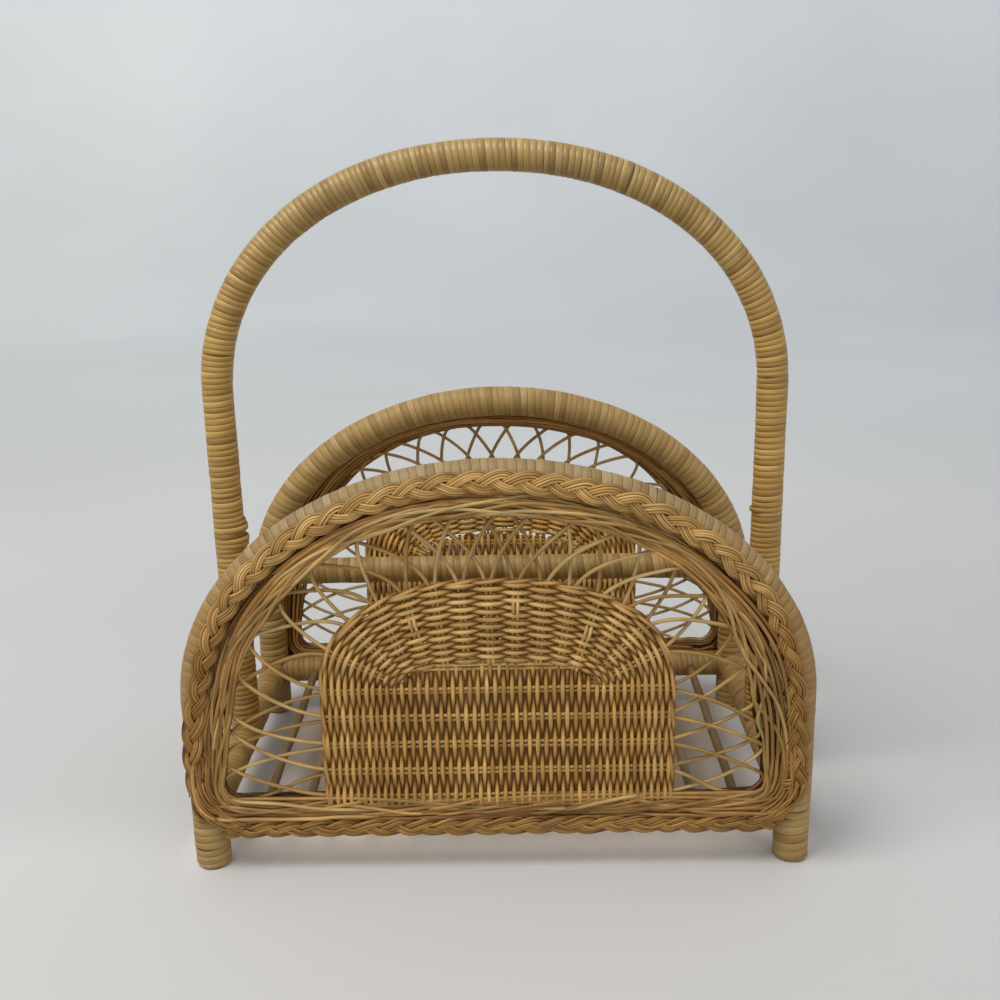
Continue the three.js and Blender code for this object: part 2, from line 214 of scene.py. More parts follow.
def dome(half, spring, rise, fullness, angles=HALF_TURN):
    """The rounded top of an arch, as (x, z). The fuller it is, the squarer its shoulders."""
    cosine = np.cos(angles)
    sine = np.clip(np.sin(angles), 0.0, 1.0)
    x = half * np.sign(cosine) * np.abs(cosine) ** (2 / fullness)
    z = spring + rise * sine ** (2 / fullness)
    return np.stack([x, z], axis=1)


def arch(half, foot, spring, rise, fullness, other_foot=None):
    """Two straight legs and the dome between them, from left to right, as (x, z)."""
    far = foot if other_foot is None else other_foot
    return evenly(np.vstack([[-half, foot], dome(half, spring, rise, fullness), [half, far]]), LINE_STEP)


def softened(path, reach, spacing):
    """The path with its bends rounded over about the given reach."""
    fine = evenly(path, 0.0015)
    half = max(1, int(reach / 0.003))
    held = np.vstack([np.repeat(fine[:1], half, axis=0), fine, np.repeat(fine[-1:], half, axis=0)])
    window = np.ones(2 * half + 1) / (2 * half + 1)
    return evenly(np.column_stack([np.convolve(column, window, "valid") for column in held.T]), spacing)


def wander(count, reach, spacing_count, draws):
    """A smooth random swing of at most about reach, one value for each of count places."""
    knots = max(4, int(count / spacing_count) + 4)
    values = draws.uniform(-reach, reach, knots)
    at = np.linspace(0, knots - 1, count)
    low = np.floor(at).astype(int).clip(0, knots - 2)
    part = at - low
    ease = part * part * (3 - 2 * part)
    return values[low] * (1 - ease) + values[low + 1] * ease


def hermite(start, start_pull, end, end_pull, count):
    t = np.linspace(0.0, 1.0, count)[:, None]
    return ((2 * t ** 3 - 3 * t ** 2 + 1) * start + (t ** 3 - 2 * t ** 2 + t) * start_pull
            + (3 * t ** 2 - 2 * t ** 3) * end + (t ** 3 - t ** 2) * end_pull)


def lift_over(radius, reach):
    """How far a circle's edge stands in front of its middle, at a distance reach to its side."""
    return np.sqrt(np.clip(radius ** 2 - reach ** 2, 0.0, None))


def by_hand(points, left, right):
    """A value that changes with height, on the left and on the right: heights, and what it is there."""
    return np.where(points[:, 0] < 0, np.interp(points[:, 1], *left), np.interp(points[:, 1], *right))


def panel_place(side, x, forward, z):
    """From x along a panel, the distance in front of its hoop's axis, and height. side is -1 for the rear."""
    return np.stack([side * x, side * (-HOOP_Y - forward) + 0 * x, z + 0 * x], axis=1)


# Materials

COAT_ROUGHNESS = 0.35
STEPS_TOP = 0.45  # the height that a finish's steps by height reach up to


class Finish:
    """A material under construction: its nodes, its links and its shader."""

    def __init__(self, name, coat=0.0):
        self.material = bpy.data.materials.new(name)
        self.material.use_nodes = True
        self.tree = self.material.node_tree
        self.shader = self.tree.nodes["Principled BSDF"]
        self.feed(self.shader, {"Coat Weight": coat, "Coat Roughness": COAT_ROUGHNESS})

    def feed(self, node, given):
        """Sets inputs, by name or by place, to a number, a colour or what another node gives."""
        for key, value in (given.items() if isinstance(given, dict) else enumerate(given)):
            if isinstance(value, bpy.types.NodeSocket):
                self.tree.links.new(value, node.inputs[key])
            else:
                node.inputs[key].default_value = (*value, 1.0) if isinstance(value, tuple) else value

    def node(self, kind, given=(), **settings):
        made = self.tree.nodes.new(kind)
        for key, value in settings.items():
            setattr(made, key, value)
        self.feed(made, given)
        return made.outputs

    def math(self, operation, a, b=0.0, clamp=False):
        return self.node("ShaderNodeMath", (a, b), operation=operation, use_clamp=clamp)[0]

    def times(self, a, b):
        return self.math("MULTIPLY", a, b)

    def noise(self, vector, scale, detail=2.0, roughness=0.5):
        given = {"Vector": vector, "Scale": scale, "Detail": detail, "Roughness": roughness}
        return self.node("ShaderNodeTexNoise", given)["Fac"]

    def noise_along(self, place, scale, detail=1.0):
        given = {"W": place, "Scale": scale, "Detail": detail}
        return self.node("ShaderNodeTexNoise", given, noise_dimensions="1D")["Fac"]

    def grain(self, a, a_scale, b, b_scale, detail=2.0, roughness=0.5):
        """Noise over two values, each with a scale of its own."""
        vector = self.node("ShaderNodeCombineXYZ", (self.times(a, a_scale), self.times(b, b_scale)))[0]
        return self.noise(vector, 1.0, detail, roughness)

    def map_range(self, value, low, high, to_low, to_high):
        return self.node("ShaderNodeMapRange", (value, low, high, to_low, to_high))[0]

    def rise(self, value, low, high, top=1.0):
        return self.map_range(value, low, high, 0.0, top)

    def fall(self, value, low, high):
        return self.map_range(value, low, high, 1.0, 0.0)

    def ramp(self, value, stops):
        made = self.node("ShaderNodeValToRGB", (value,))["Color"]
        elements = made.node.color_ramp.elements
        while len(elements) < len(stops):
            elements.new(0.5)
        for element, (place, colour) in zip(elements, stops):
            element.position = place
            element.color = (*colour, 1.0)
        return made

    def mix(self, share, a, b, kind="MIX"):
        return self.node("ShaderNodeMix", {0: share, 6: a, 7: b}, data_type="RGBA", blend_type=kind)[2]

    def tinted(self, colour, tint):
        """The colour times a tint."""
        return self.mix(1.0, colour, tint, "MULTIPLY")

    def shade(self, colour, share, tint):
        """The colour times a tint where share is 1, and as it is where share is 0."""
        return self.mix(share, colour, self.tinted(colour, tint))

    def varied(self, colour, value, low, high, to_low, to_high):
        """The colour times a grey that goes from to_low to to_high as the value goes from low to high."""
        grey = self.map_range(value, low, high, to_low, to_high)
        return self.tinted(colour, self.node("ShaderNodeCombineColor", (grey,) * 3)[0])

    def by_height(self, colour, place, steps):
        """The colour times a tint that changes with height. Each step is (height, tint)."""
        share = self.rise(self.split(place)[2], 0.0, STEPS_TOP)
        return self.tinted(colour, self.ramp(share, [(z / STEPS_TOP, tint) for z, tint in steps]))

    def bump(self, height, distance, strength):
        given = {"Strength": strength, "Distance": distance, "Height": height}
        self.feed(self.shader, {"Normal": self.node("ShaderNodeBump", given)[0]})

    def split(self, vector):
        return list(self.node("ShaderNodeSeparateXYZ", (vector,)))

    def object_place(self):
        return self.node("ShaderNodeTexCoord")["Object"]

    def uv(self):
        return self.split(self.node("ShaderNodeUVMap", uv_map="UVMap")[0])[:2]

    def finished(self, colour, roughness):
        self.feed(self.shader, {"Base Color": colour, "Roughness": roughness})
        return self.material


def peel_finish(name, pale, golden, deep, seam_share, coat, roughness, tints=None, tight_below=None):
    """Flat peel wound round a pole. The UV map gives turns along the strip and the place across it.

    seam_share is how much of its brightness is left where two turns meet. Below tight_below the
    turns lie so close that their seams hardly show, and the peel is browner."""
    made = Finish(name, coat)
    turn, across = made.uv()
    place = made.object_place()
    from_seam = made.math("MINIMUM", across, made.math("SUBTRACT", 1.0, across))
    tone = made.noise_along(turn, 0.83)
    streak = made.grain(turn, 1.7, across, 9.0, 3.0, 0.6)
    stain = made.noise(place, 31.0, 3.0, 0.55)
    fleck = made.grain(turn, 7.0, across, 3.0)
    base = made.ramp(tone, [(0.30, deep), (0.48, golden), (0.70, pale)])
    base = made.mix(made.rise(stain, 0.42, 0.68, 0.45), base, deep)
    base = made.varied(base, streak, 0.3, 0.7, 0.72, 1.20)
    base = made.varied(base, fleck, 0.60, 0.72, 1.0, 0.82)
    seam = made.map_range(made.noise_along(turn, 2.1, 2.0), 0.38, 0.62, seam_share, seam_share + 0.50)
    if tight_below is not None:
        height = made.split(place)[2]
        tight = made.fall(height, tight_below - 0.03, tight_below + 0.03)
        tight = made.times(tight, made.rise(height, 0.045, 0.070))
        seam = made.math("ADD", seam, made.times(tight, 0.42), clamp=True)
        base = made.mix(made.times(tight, 0.55), base, (0.300, 0.172, 0.058))
    base = made.varied(base, from_seam, 0.012, 0.060, seam, 1.0)
    if tints is not None:
        base = made.by_height(base, place, tints)
    made.bump(streak, 0.00012, 0.7)
    return made.finished(base, made.map_range(streak, 0.3, 0.7, roughness - 0.08, roughness + 0.10))


# Painted shade on cane is a warm brown: what it leaves of red, green and blue
SIDE_TINT = (1.35, 1.05, 0.40)
DEEP_TINT = (1.10, 0.90, 0.40)
PLANE_SHADE = 0.44
HOLLOW_SHADE = 0.30
REED_ROUGHNESS = 0.52
REED_STAIN = (0.20, 0.100, 0.022)


def warm(shade, tint):
    return tuple(shade * part for part in tint)


def reed_finish(name, tones, side_shade=None, tints=None, plane_depth=None, hollow=None):
    """Round reed. The UV map gives centimetres along it and the share of the way round it.

    side_shade is how much of its brightness is left where its surface turns away from the panel's
    face: painted shade on the reeds' sides. The depths are distances from the basket's middle plane. The reed
    is painted darker near plane_depth, as shade where weavers dip behind each other. With hollow, three
    depths, it is painted dark up to the first, as it is from the second on, and only a little darker on the
    inner side of the third: painted shade on the bundle's deeper reeds."""
    made = Finish(name, coat=0.04)
    made.feed(made.shader, {"Specular IOR Level": 0.32})
    run, around = made.uv()
    place = made.object_place()
    chance = made.node("ShaderNodeNewGeometry")["Random Per Island"]
    shifted = made.math("ADD", run, made.times(chance, 37.0))
    tone = made.ramp(chance, tones)
    streak = made.grain(shifted, 0.35, around, 7.0, 3.0, 0.6)
    patch = made.noise_along(shifted, 0.33, 2.0)
    stain = made.noise(place, 45.0)
    base = made.varied(tone, streak, 0.3, 0.7, 0.76, 1.18)
    base = made.varied(base, patch, 0.35, 0.65, 0.84, 1.12)
    base = made.mix(made.rise(stain, 0.45, 0.70, 0.35), base, REED_STAIN)
    # Painted shade on the sides of each reed, where it turns away from the panel's face
    if side_shade is not None:
        facing = made.math("ABSOLUTE", made.node("ShaderNodeAttribute", attribute_name="facing")["Fac"])
        base = made.shade(base, made.fall(facing, 0.12, 0.74), warm(side_shade, SIDE_TINT))
    depth = made.math("ABSOLUTE", made.split(place)[1])
    # Painted shade near the middle plane, where weavers dip behind their neighbours
    if plane_depth is not None:
        off = made.math("ABSOLUTE", made.math("SUBTRACT", depth, plane_depth))
        base = made.shade(base, made.fall(off, 0.0004, 0.0024), warm(PLANE_SHADE, DEEP_TINT))
    # Painted shade on reeds that lie deep in the bundle, lighter again on its inner side
    if hollow is not None:
        back, face, lit_behind = hollow
        outer = made.map_range(depth, lit_behind - 0.0012, lit_behind, 0.20, 1.0)
        share = made.times(made.fall(depth, back, face), outer)
        base = made.shade(base, share, warm(HOLLOW_SHADE, DEEP_TINT))
    if tints is not None:
        base = made.by_height(base, place, tints)
    made.bump(streak, 0.00010, 0.7)
    gloss = made.map_range(streak, 0.3, 0.7, REED_ROUGHNESS - 0.08, REED_ROUGHNESS + 0.08)
    return made.finished(base, gloss)


def core_finish(name, base_tone, deep_tone):
    """The poles under their peel."""
    made = Finish(name)
    place = made.object_place()
    grain = made.noise(place, 900.0, 3.0, 0.6)
    cloud = made.noise(place, 60.0)
    base = made.mix(made.rise(cloud, 0.35, 0.68), base_tone, deep_tone)
    base = made.varied(base, grain, 0.3, 0.7, 0.75, 1.15)
    made.bump(grain, 0.0002, 0.5)
    return made.finished(base, 0.62)


PLAIN = (1.0, 1.0, 1.0)

# Tints by height are painted shade: darker and browner at the foot of the legs, in the basket's shade, and
# the crown painted darker where it faces the top light
handle_peel = peel_finish(
    "wound_peel", (0.572, 0.383, 0.112), (0.464, 0.283, 0.065), (0.335, 0.184, 0.037),
    seam_share=0.12, coat=0.16, roughness=0.46,
    tints=[(0.07, (0.76, 0.69, 0.56)), (0.13, (1.0, 0.93, 0.80)), (0.31, (1.0, 0.95, 0.84)),
           (0.40, (0.79, 0.82, 0.97))])
# The top tint is painted shade: the crown painted darker where it faces the top light
hoop_peel = peel_finish(
    "hoop_peel", (0.470, 0.318, 0.130), (0.392, 0.249, 0.083), (0.308, 0.181, 0.054),
    seam_share=0.10, coat=0.03, roughness=0.62, tight_below=0.185,
    tints=[(0.035, (1.0, 0.98, 0.88)), (0.07, (1.0, 0.95, 0.81)), (0.17, (0.97, 0.92, 0.79)),
           (0.23, (0.81, 0.86, 1.0))])
# Tints by height are painted shade: darker low down, where the rear hoop's legs and the rails lie in the
# basket's shade
rear_peel = peel_finish(
    "rear_hoop_peel", (0.460, 0.308, 0.114), (0.390, 0.245, 0.070), (0.305, 0.178, 0.045),
    seam_share=0.14, coat=0.05, roughness=0.60,
    tints=[(0.045, (0.78, 0.72, 0.60)), (0.10, (0.97, 0.90, 0.77)), (0.20, PLAIN)])
divider_peel = peel_finish(
    "divider_peel", (0.390, 0.255, 0.080), (0.320, 0.192, 0.046), (0.225, 0.122, 0.026),
    seam_share=0.16, coat=0.05, roughness=0.58)

WEAVE_TONES = [(0.0, (0.466, 0.254, 0.078)), (0.35, (0.549, 0.326, 0.107)), (0.7, (0.618, 0.385, 0.138)),
               (1.0, (0.677, 0.447, 0.185))]
# A lighter, warmer copy of the woven reed's tones for the rear panel: painted light on its face seen from
# inside the basket
REAR_WEAVE_TONES = [(place, (red * 1.19, green * 1.14, blue * 0.84))
                    for place, (red, green, blue) in WEAVE_TONES]
BUNDLE_TONES = [(0.0, (0.300, 0.137, 0.031)), (0.3, (0.470, 0.232, 0.058)), (0.65, (0.620, 0.327, 0.086)),
                (1.0, (0.780, 0.448, 0.139))]
PLAIT_TONES = [(0.0, (0.463, 0.250, 0.070)), (0.4, (0.577, 0.335, 0.103)), (1.0, (0.697, 0.440, 0.163))]
SILL_TONES = [(0.0, (0.262, 0.128, 0.025)), (0.4, (0.345, 0.178, 0.038)), (1.0, (0.441, 0.246, 0.061))]
NET_TONES = [(0.0, (0.32, 0.187, 0.050)), (0.5, (0.43, 0.268, 0.087)), (1.0, (0.53, 0.366, 0.145))]
# Paler than the net's stakes: painted light on the stakes where they show between the weavers, against the
# shade there
WOVEN_STAKE_TONES = [(0.0, (0.50, 0.310, 0.096)), (1.0, (0.70, 0.480, 0.180))]
# Darker than the other cane: partly the slats' own tone, partly painted shade for the basket's shaded floor
SLAT_TONES = [(0.0, (0.155, 0.096, 0.040)), (1.0, (0.235, 0.152, 0.068))]

weave_reed = reed_finish("woven_reed_finish", WEAVE_TONES, 0.60, plane_depth=PANEL_DEPTH,
                         tints=[(0.118, (0.935, 0.885, 0.745)), (0.134, PLAIN)])
rear_weave_reed = reed_finish("rear_woven_reed_finish", REAR_WEAVE_TONES, 0.60, plane_depth=PANEL_DEPTH)
bundle_reed = reed_finish("bundle_reed_finish", BUNDLE_TONES, 0.20,
                          tints=[(0.052, (0.77, 0.77, 0.82)), (0.072, (0.66, 0.65, 0.64)),
                                 (0.15, (0.70, 0.69, 0.70)), (0.20, PLAIN)],
                          hollow=(PANEL_DEPTH - 0.0030, PANEL_DEPTH + 0.0048, PANEL_DEPTH - 0.0036))
plait_reed = reed_finish("plaited_reed_finish", PLAIT_TONES, 0.32,
                         tints=[(0.14, (0.60, 0.53, 0.38)), (0.20, PLAIN)],
                         hollow=(HOOP_Y + HOOP_RADIUS - 0.0010, HOOP_Y + HOOP_RADIUS + 0.0010, 0.0))
sill_reed = reed_finish("sill_reed_finish", SILL_TONES, 0.28,
                        hollow=(HOOP_Y + RAIL_RADIUS - 0.0008, HOOP_Y + RAIL_RADIUS + 0.0022, 0.0))
net_reed = reed_finish("stake_reed_finish", NET_TONES, 0.42)
woven_stake = reed_finish("woven_stake_finish", WOVEN_STAKE_TONES, 0.55)
slat_cane = reed_finish("floor_cane_finish", SLAT_TONES)
core_cane = core_finish("pole_core_finish", (0.13, 0.075, 0.030), (0.07, 0.036, 0.014))

for node_name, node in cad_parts.items():
    node.data.materials.clear()
    node.data.materials.append(slat_cane if node_name.startswith("slat") else core_cane)


# Pieces

def read(items, name, width=1, kind=float):
    """What each of a mesh's points, corners or faces holds: one value, or a row of width values."""
    values = np.zeros(len(items) * width, kind)
    items.foreach_get(name, values)
    return values.reshape(-1, width) if width > 1 else values


def welded(mesh, reach, closed=False):
    """Joins points that lie within reach of each other, and closes open ends if asked."""
    shell = bmesh.new()
    shell.from_mesh(mesh)
    bmesh.ops.remove_doubles(shell, verts=shell.verts, dist=reach)
    if closed:
        bmesh.ops.dissolve_degenerate(shell, edges=shell.edges, dist=reach)
        bmesh.ops.holes_fill(shell, edges=[edge for edge in shell.edges if edge.is_boundary], sides=0)
    bmesh.ops.recalc_face_normals(shell, faces=shell.faces)
    shell.to_mesh(mesh)
    shell.free()


def grid_mesh(name, columns, rows):
    """A flat square, one unit wide, with its UV map."""
    shell = bmesh.new()
    bmesh.ops.create_grid(shell, x_segments=columns, y_segments=rows, size=0.5)
    shell.loops.layers.uv.new("UVMap")
    mesh = bpy.data.meshes.new(name)
    shell.to_mesh(mesh)
    shell.free()
    return mesh


def placed(name, data, finish=None):
    """A new object in the scene. A mesh is shaded smooth and gets its finish."""
    if finish is not None:
        data.materials.clear()
        data.materials.append(finish)
        data.polygons.foreach_set("use_smooth", np.ones(len(data.polygons), bool))
    made = bpy.data.objects.new(name, data)
    bpy.context.scene.collection.objects.link(made)
    return made


def settle(name, mesh, finish, nodes):
    """Puts a finished mesh in the scene as a piece that stands for the given nodes."""
    piece = placed(name, mesh, finish)
    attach(piece, "root")
    if nodes:
        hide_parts(*nodes)


# Across one turn of peel: seam, edge, crown, edge
TURN_PLACES = np.array([0.0, 0.06, 0.5, 0.94, 1.0])
TURN_DROPS = np.array([1.0, 0.17, 0.0, 0.17, 1.0])  # share of the seam's depth
ROWS_PER_TURN = 4
POLE_COLUMNS = 22
PEEL_SWELL = 0.00009
PEEL_LEAN = 0.00011
PEEL_UNEVEN = 0.00013
UNEVEN_PLACES = 40
SWELL_LIMIT = 0.0002
PEEL_CLEAR = 0.00022  # how far the peel's mean surface stays inside the pole's radius
END_SINK = 0.0009
SLIT_SPACING = 0.045
PEEL_WELD = 0.000004
REED_WELD = 0.0000005


def wind_pole(name, axis, side, seed, peel, slits=(), laps=()):
    """Peel wound round a pole as one helix. side is square to the plane that the axis lies in.

    Each slit is (distance along the axis, place round the pole in turns, its half width in turns,
    how far the seam opens, how deep). Each lap is a turn that stands proud: (distance along the axis,
    place round the pole, its half width in turns, how proud)."""
    radius, pitch, seam_depth, finish = peel
    draws = np.random.default_rng(seed)
    lengths = run_lengths(axis)
    length = lengths[-1]
    turns = int(round(length / pitch)) + 1
    widths = pitch * np.clip(1 + 0.13 * draws.standard_normal(turns - 1), 0.7, 1.35)
    seams = np.concatenate([[0.0], np.cumsum(widths)])
    seams = np.concatenate([[-pitch], seams * length / seams[-1], [length + pitch]])
    knots = np.arange(turns + 2)

    mesh = grid_mesh(name + "_peel", POLE_COLUMNS, turns * ROWS_PER_TURN)
    flat = read(mesh.vertices, "co", 3)
    around = np.rint((flat[:, 0] + 0.5) * POLE_COLUMNS).astype(int) / POLE_COLUMNS
    row = np.rint((flat[:, 1] + 0.5) * turns * ROWS_PER_TURN).astype(int)
    line = row % ROWS_PER_TURN
    reading = row // ROWS_PER_TURN + around

    here = np.interp(reading, knots, seams)
    there = np.interp(reading + 1, knots, seams)
    place = here + TURN_PLACES[line] * (there - here)
    swell = np.interp(reading, knots, draws.normal(0.0, PEEL_SWELL, turns + 2))
    lean = np.interp(reading, knots, draws.normal(0.0, PEEL_LEAN, turns + 2))
    drop = seam_depth * TURN_DROPS[line] - lean * (TURN_PLACES[line] - 0.5) * (line > 0)
    uneven = draws.normal(0.0, PEEL_UNEVEN, UNEVEN_PLACES)
    uneven = np.interp(place, np.linspace(0, length, UNEVEN_PLACES), uneven)
    girth = radius - PEEL_CLEAR - drop
    for change in (swell, uneven):
        girth = girth + np.clip(change, -SWELL_LIMIT, SWELL_LIMIT)

    def near(value, at, facing, half_width):
        """1 where the strip passes a spot on the pole, and 0 from half_width away from it on."""
        off = value - (round(float(np.interp(at, seams, knots)) - facing) + facing)
        return np.where(np.abs(off) < half_width, 0.5 + 0.5 * np.cos(np.pi * off / half_width), 0.0)

    openings = list(slits)
    for _ in range(int(length / SLIT_SPACING)):
        openings.append((
            draws.uniform(0.0, length), draws.uniform(0.0, 1.0), draws.uniform(0.12, 0.45),
            draws.uniform(0.0001, 0.0005), draws.uniform(0.0002, 0.0006)))
    for at, facing, half_width, opens, deep in openings:
        below = near(reading, at, facing, half_width)
        above = near(reading + 1, at, facing, half_width)
        girth = girth - deep * below * (line == 0)
        place = place + opens * below * (line == 1) - opens * above * (line == 3)
    for at, facing, half_width, proud in laps:
        girth = girth + proud * near(reading, at, facing, half_width) * (line > 0)

    at_end = (place <= 0.0) | (place >= length)
    girth = np.where(at_end, radius - END_SINK, girth)
    place = np.clip(place, 0.0, length)
    ahead = unit(along(directions(axis), lengths, place))
    angle = math.tau * around
    round_it = np.cos(angle)[:, None] * np.array(side) + np.sin(angle)[:, None] * np.cross(ahead, side)
    points = along(axis, lengths, place) + girth[:, None] * round_it
    mesh.vertices.foreach_set("co", points.ravel())

    corners = read(mesh.loops, "vertex_index", kind=int).reshape(-1, 4)
    own_turn = (row[corners].min(axis=1) // ROWS_PER_TURN)[:, None]
    strip = (own_turn + around[corners]).ravel()
    across = TURN_PLACES[row[corners] - own_turn * ROWS_PER_TURN].ravel()
    mesh.uv_layers["UVMap"].data.foreach_set("uv", np.stack([strip, across], axis=1).ravel())
    welded(mesh, PEEL_WELD, closed=True)
    settle(name + "_peel", mesh, finish, [name + "_winding"])


def lay_reeds(name, lines, radius, finish, nodes, sides):
    """One round reed along each line. A line is (points, girths), and a girth of 1 is the full radius."""
    data = bpy.data.curves.new(name, "CURVE")
    data.dimensions = "3D"
    data.bevel_depth = radius
    data.bevel_resolution = sides // 2 - 2
    data.use_fill_caps = True
    data.twist_mode = "MINIMUM"
    run_scales = []
    for points, girths in lines:
        spline = data.splines.new("POLY")
        spline.points.add(len(points) - 1)
        spline.points.foreach_set("co", np.column_stack([points, np.ones(len(points))]).ravel())
        spline.points.foreach_set("radius", np.broadcast_to(girths, len(points)).astype(float))
        run_scales += [run_lengths(points)[-1] * 100] * ((len(points) - 1) * sides)
    holder = bpy.data.objects.new(name + "_line", data)
    mesh = bpy.data.meshes.new_from_object(holder)
    mesh.name = name
    bpy.data.objects.remove(holder)
    bpy.data.curves.remove(data)

    # The UV map's first value becomes centimetres. The caps come first, then the sides of each reed in turn.
    uv = mesh.uv_layers[0]
    uv.name = "UVMap"
    places = read(uv.data, "uv", 2)
    starts = read(mesh.polygons, "loop_start", kind=int)[-len(run_scales):]
    for corner in range(4):
        places[starts + corner, 0] *= run_scales
    uv.data.foreach_set("uv", places.ravel())
    welded(mesh, REED_WELD)

    # Which way each point faces, for the painted shade on the reeds' sides
    facing = mesh.attributes.new("facing", "FLOAT", "POINT")
    facing.data.foreach_set("value", read(mesh.vertex_normals, "vector", 3)[:, 1].copy())
    settle(name, mesh, finish, nodes)


def tapered(count, first=0.75, last=0.75):
    """Girths for a reed that thins at its two ends."""
    girths = np.ones(count)
    girths[0] = first
    girths[-1] = last
    return girths


# Camera: the photograph's viewing angle

CAMERA_PLACE = (0.013, -0.768, 0.424)
CAMERA_TURN = 0.80
CAMERA_TIP = 90.0 - 16.14
CAMERA_ROLL = -1.17


def set_camera():
    lens = bpy.data.cameras.new("photo_view")
    lens.sensor_width = 36.0
    lens.lens = 43.2
    lens.clip_start = 0.01
    lens.clip_end = 50.0
    camera = placed("photo_view", lens)
    camera.matrix_world = Matrix.Translation(CAMERA_PLACE)
    for degrees, axis in ((CAMERA_TURN, "Z"), (CAMERA_TIP, "X"), (CAMERA_ROLL, "Z")):
        camera.matrix_world = camera.matrix_world @ Matrix.Rotation(math.radians(degrees), 4, axis)
    bpy.context.scene.camera = camera


# Stage: one pale sheet that lies on the floor and rises behind

SHEET_WIDTH = 14.0
SHEET_RUN = 8.0
SHEET_FRONT = -2.6
SHEET_BEND_RADIUS = 1.4
SHEET_FLOOR_REACH = 2.2
# The sheet's tones carry painted light: brighter and bluer up the wall behind, darker towards the right, and
# brighter or darker bands by y
NEAR_TONE = (0.600, 0.592, 0.582)
FAR_TONE = (0.905, 0.930, 0.928)
RIGHT_TONE = (0.760, 0.785, 0.810)
SHEET_PAINTED_LIGHT = [(-0.25, 0.905), (-0.10, 0.955), (-0.04, 0.88), (0.30, 0.83), (0.65, 0.86), (1.25, 0.87),
                (2.45, 0.91), (3.00, 0.94), (3.30, 1.02), (3.50, 1.12)]  # brightness by y
LEVELS_FRONT = -0.4
LEVELS_RUN = 4.0
# Painted light on the floor just in front of the basket, lifting the shadow under its sill
PAINTED_LIGHT_UNDER_FRONT = (2.10, 1.97, 1.78)
# Painted shadow on the floor inside the basket
PAINTED_SHADOW_INSIDE = (0.50, 0.36, 0.22)


def sheet_finish():
    made = Finish("floor_sheet_finish")
    place = made.object_place()
    x, y, _ = made.split(place)
    # Painted light on the sheet: brighter and bluer up the back, darker to the right, bands by y
    back = made.rise(y, 0.0, 2.4)
    tone = made.mix(back, NEAR_TONE, FAR_TONE)
    tone = made.mix(made.times(back, made.rise(x, -1.2, 1.2)), tone, RIGHT_TONE)
    levels = [((at - LEVELS_FRONT) / LEVELS_RUN, (level,) * 3) for at, level in SHEET_PAINTED_LIGHT]
    tone = made.tinted(tone, made.ramp(made.rise(y, LEVELS_FRONT, LEVELS_FRONT + LEVELS_RUN), levels))
    middle = made.fall(made.math("ABSOLUTE", x), 0.12, 0.21)
    # Painted light: the floor just in front of the sill, lifting its shadow
    front = made.times(made.rise(y, -0.122, -0.093), made.fall(y, -0.085, -0.030))
    # Painted shadow: the floor inside the basket
    inside = made.times(made.rise(y, -0.085, -0.030), made.fall(y, 0.100, 0.170))
    tone = made.shade(tone, made.times(middle, front), PAINTED_LIGHT_UNDER_FRONT)
    tone = made.shade(tone, made.times(middle, inside), PAINTED_SHADOW_INSIDE)
    tone = made.varied(tone, made.noise(place, 1.6), 0.3, 0.7, 0.97, 1.03)
    return made.finished(tone, 0.85)


def set_stage():
    mesh = grid_mesh("floor_sheet", 2, 60)
    for vertex in mesh.vertices:
        run = (vertex.co.y + 0.5) * SHEET_RUN + SHEET_FRONT
        past = run - SHEET_FLOOR_REACH
        bend = min(max(past / SHEET_BEND_RADIUS, 0.0), math.pi / 2)
        rise = max(past - SHEET_BEND_RADIUS * math.pi / 2, 0.0)
        vertex.co.x *= SHEET_WIDTH
        vertex.co.y = min(run, SHEET_FLOOR_REACH) + SHEET_BEND_RADIUS * math.sin(bend)
        vertex.co.z = SHEET_BEND_RADIUS * (1 - math.cos(bend)) + rise
    placed("floor_sheet", mesh, sheet_finish())


SKY_COLOUR = (0.96, 0.98, 1.0, 1.0)
SKY_STRENGTH = 0.66


def area_light(name, place, aim, width, height, power, colour):
    light = bpy.data.lights.new(name, "AREA")
    light.shape = "RECTANGLE"
    light.size = width
    light.size_y = height
    light.energy = power
    light.color = colour
    lamp = placed(name, light)
    lamp.location = place
    lamp.rotation_euler = (Vector(aim) - Vector(place)).to_track_quat("-Z", "Y").to_euler()


def set_lights():
    scene = bpy.context.scene
    scene.view_settings.view_transform = "Standard"
    scene.world = bpy.data.worlds.new("studio")
    scene.world.use_nodes = True
    sky = scene.world.node_tree.nodes["Background"].inputs
    sky["Color"].default_value = SKY_COLOUR
    sky["Strength"].default_value = SKY_STRENGTH
    area_light("top_softbox", place=(-0.7, -0.55, 1.9), aim=(0.0, 0.0, 0.15), width=0.9, height=0.7,
               power=24.0, colour=(1.0, 0.985, 0.96))
    area_light("front_fill", place=(0.9, -2.2, 1.1), aim=(0.0, 0.0, 0.2), width=1.6, height=1.2,
               power=3.0, colour=(1.0, 0.98, 0.95))


set_camera()
set_stage()
set_lights()


# Wound poles

ALONG_Y = (0.0, 1.0, 0.0)
ALONG_Z = (0.0, 0.0, 1.0)

# Each pole's peel: the pole's radius, the pitch of the turns, the depth of their seams, the finish
FRONT_HOOP_PEEL = (HOOP_RADIUS, 0.0052, 0.00024, hoop_peel)
REAR_HOOP_PEEL = (HOOP_RADIUS, 0.0047, 0.00026, rear_peel)
HANDLE_PEEL = (HANDLE_RADIUS, 0.0037, 0.00045, handle_peel)
RAIL_PEEL = (RAIL_RADIUS, 0.0045, 0.0003, rear_peel)
DIVIDER_PEEL = (DIVIDER_RADIUS, 0.0044, 0.00022, divider_peel)

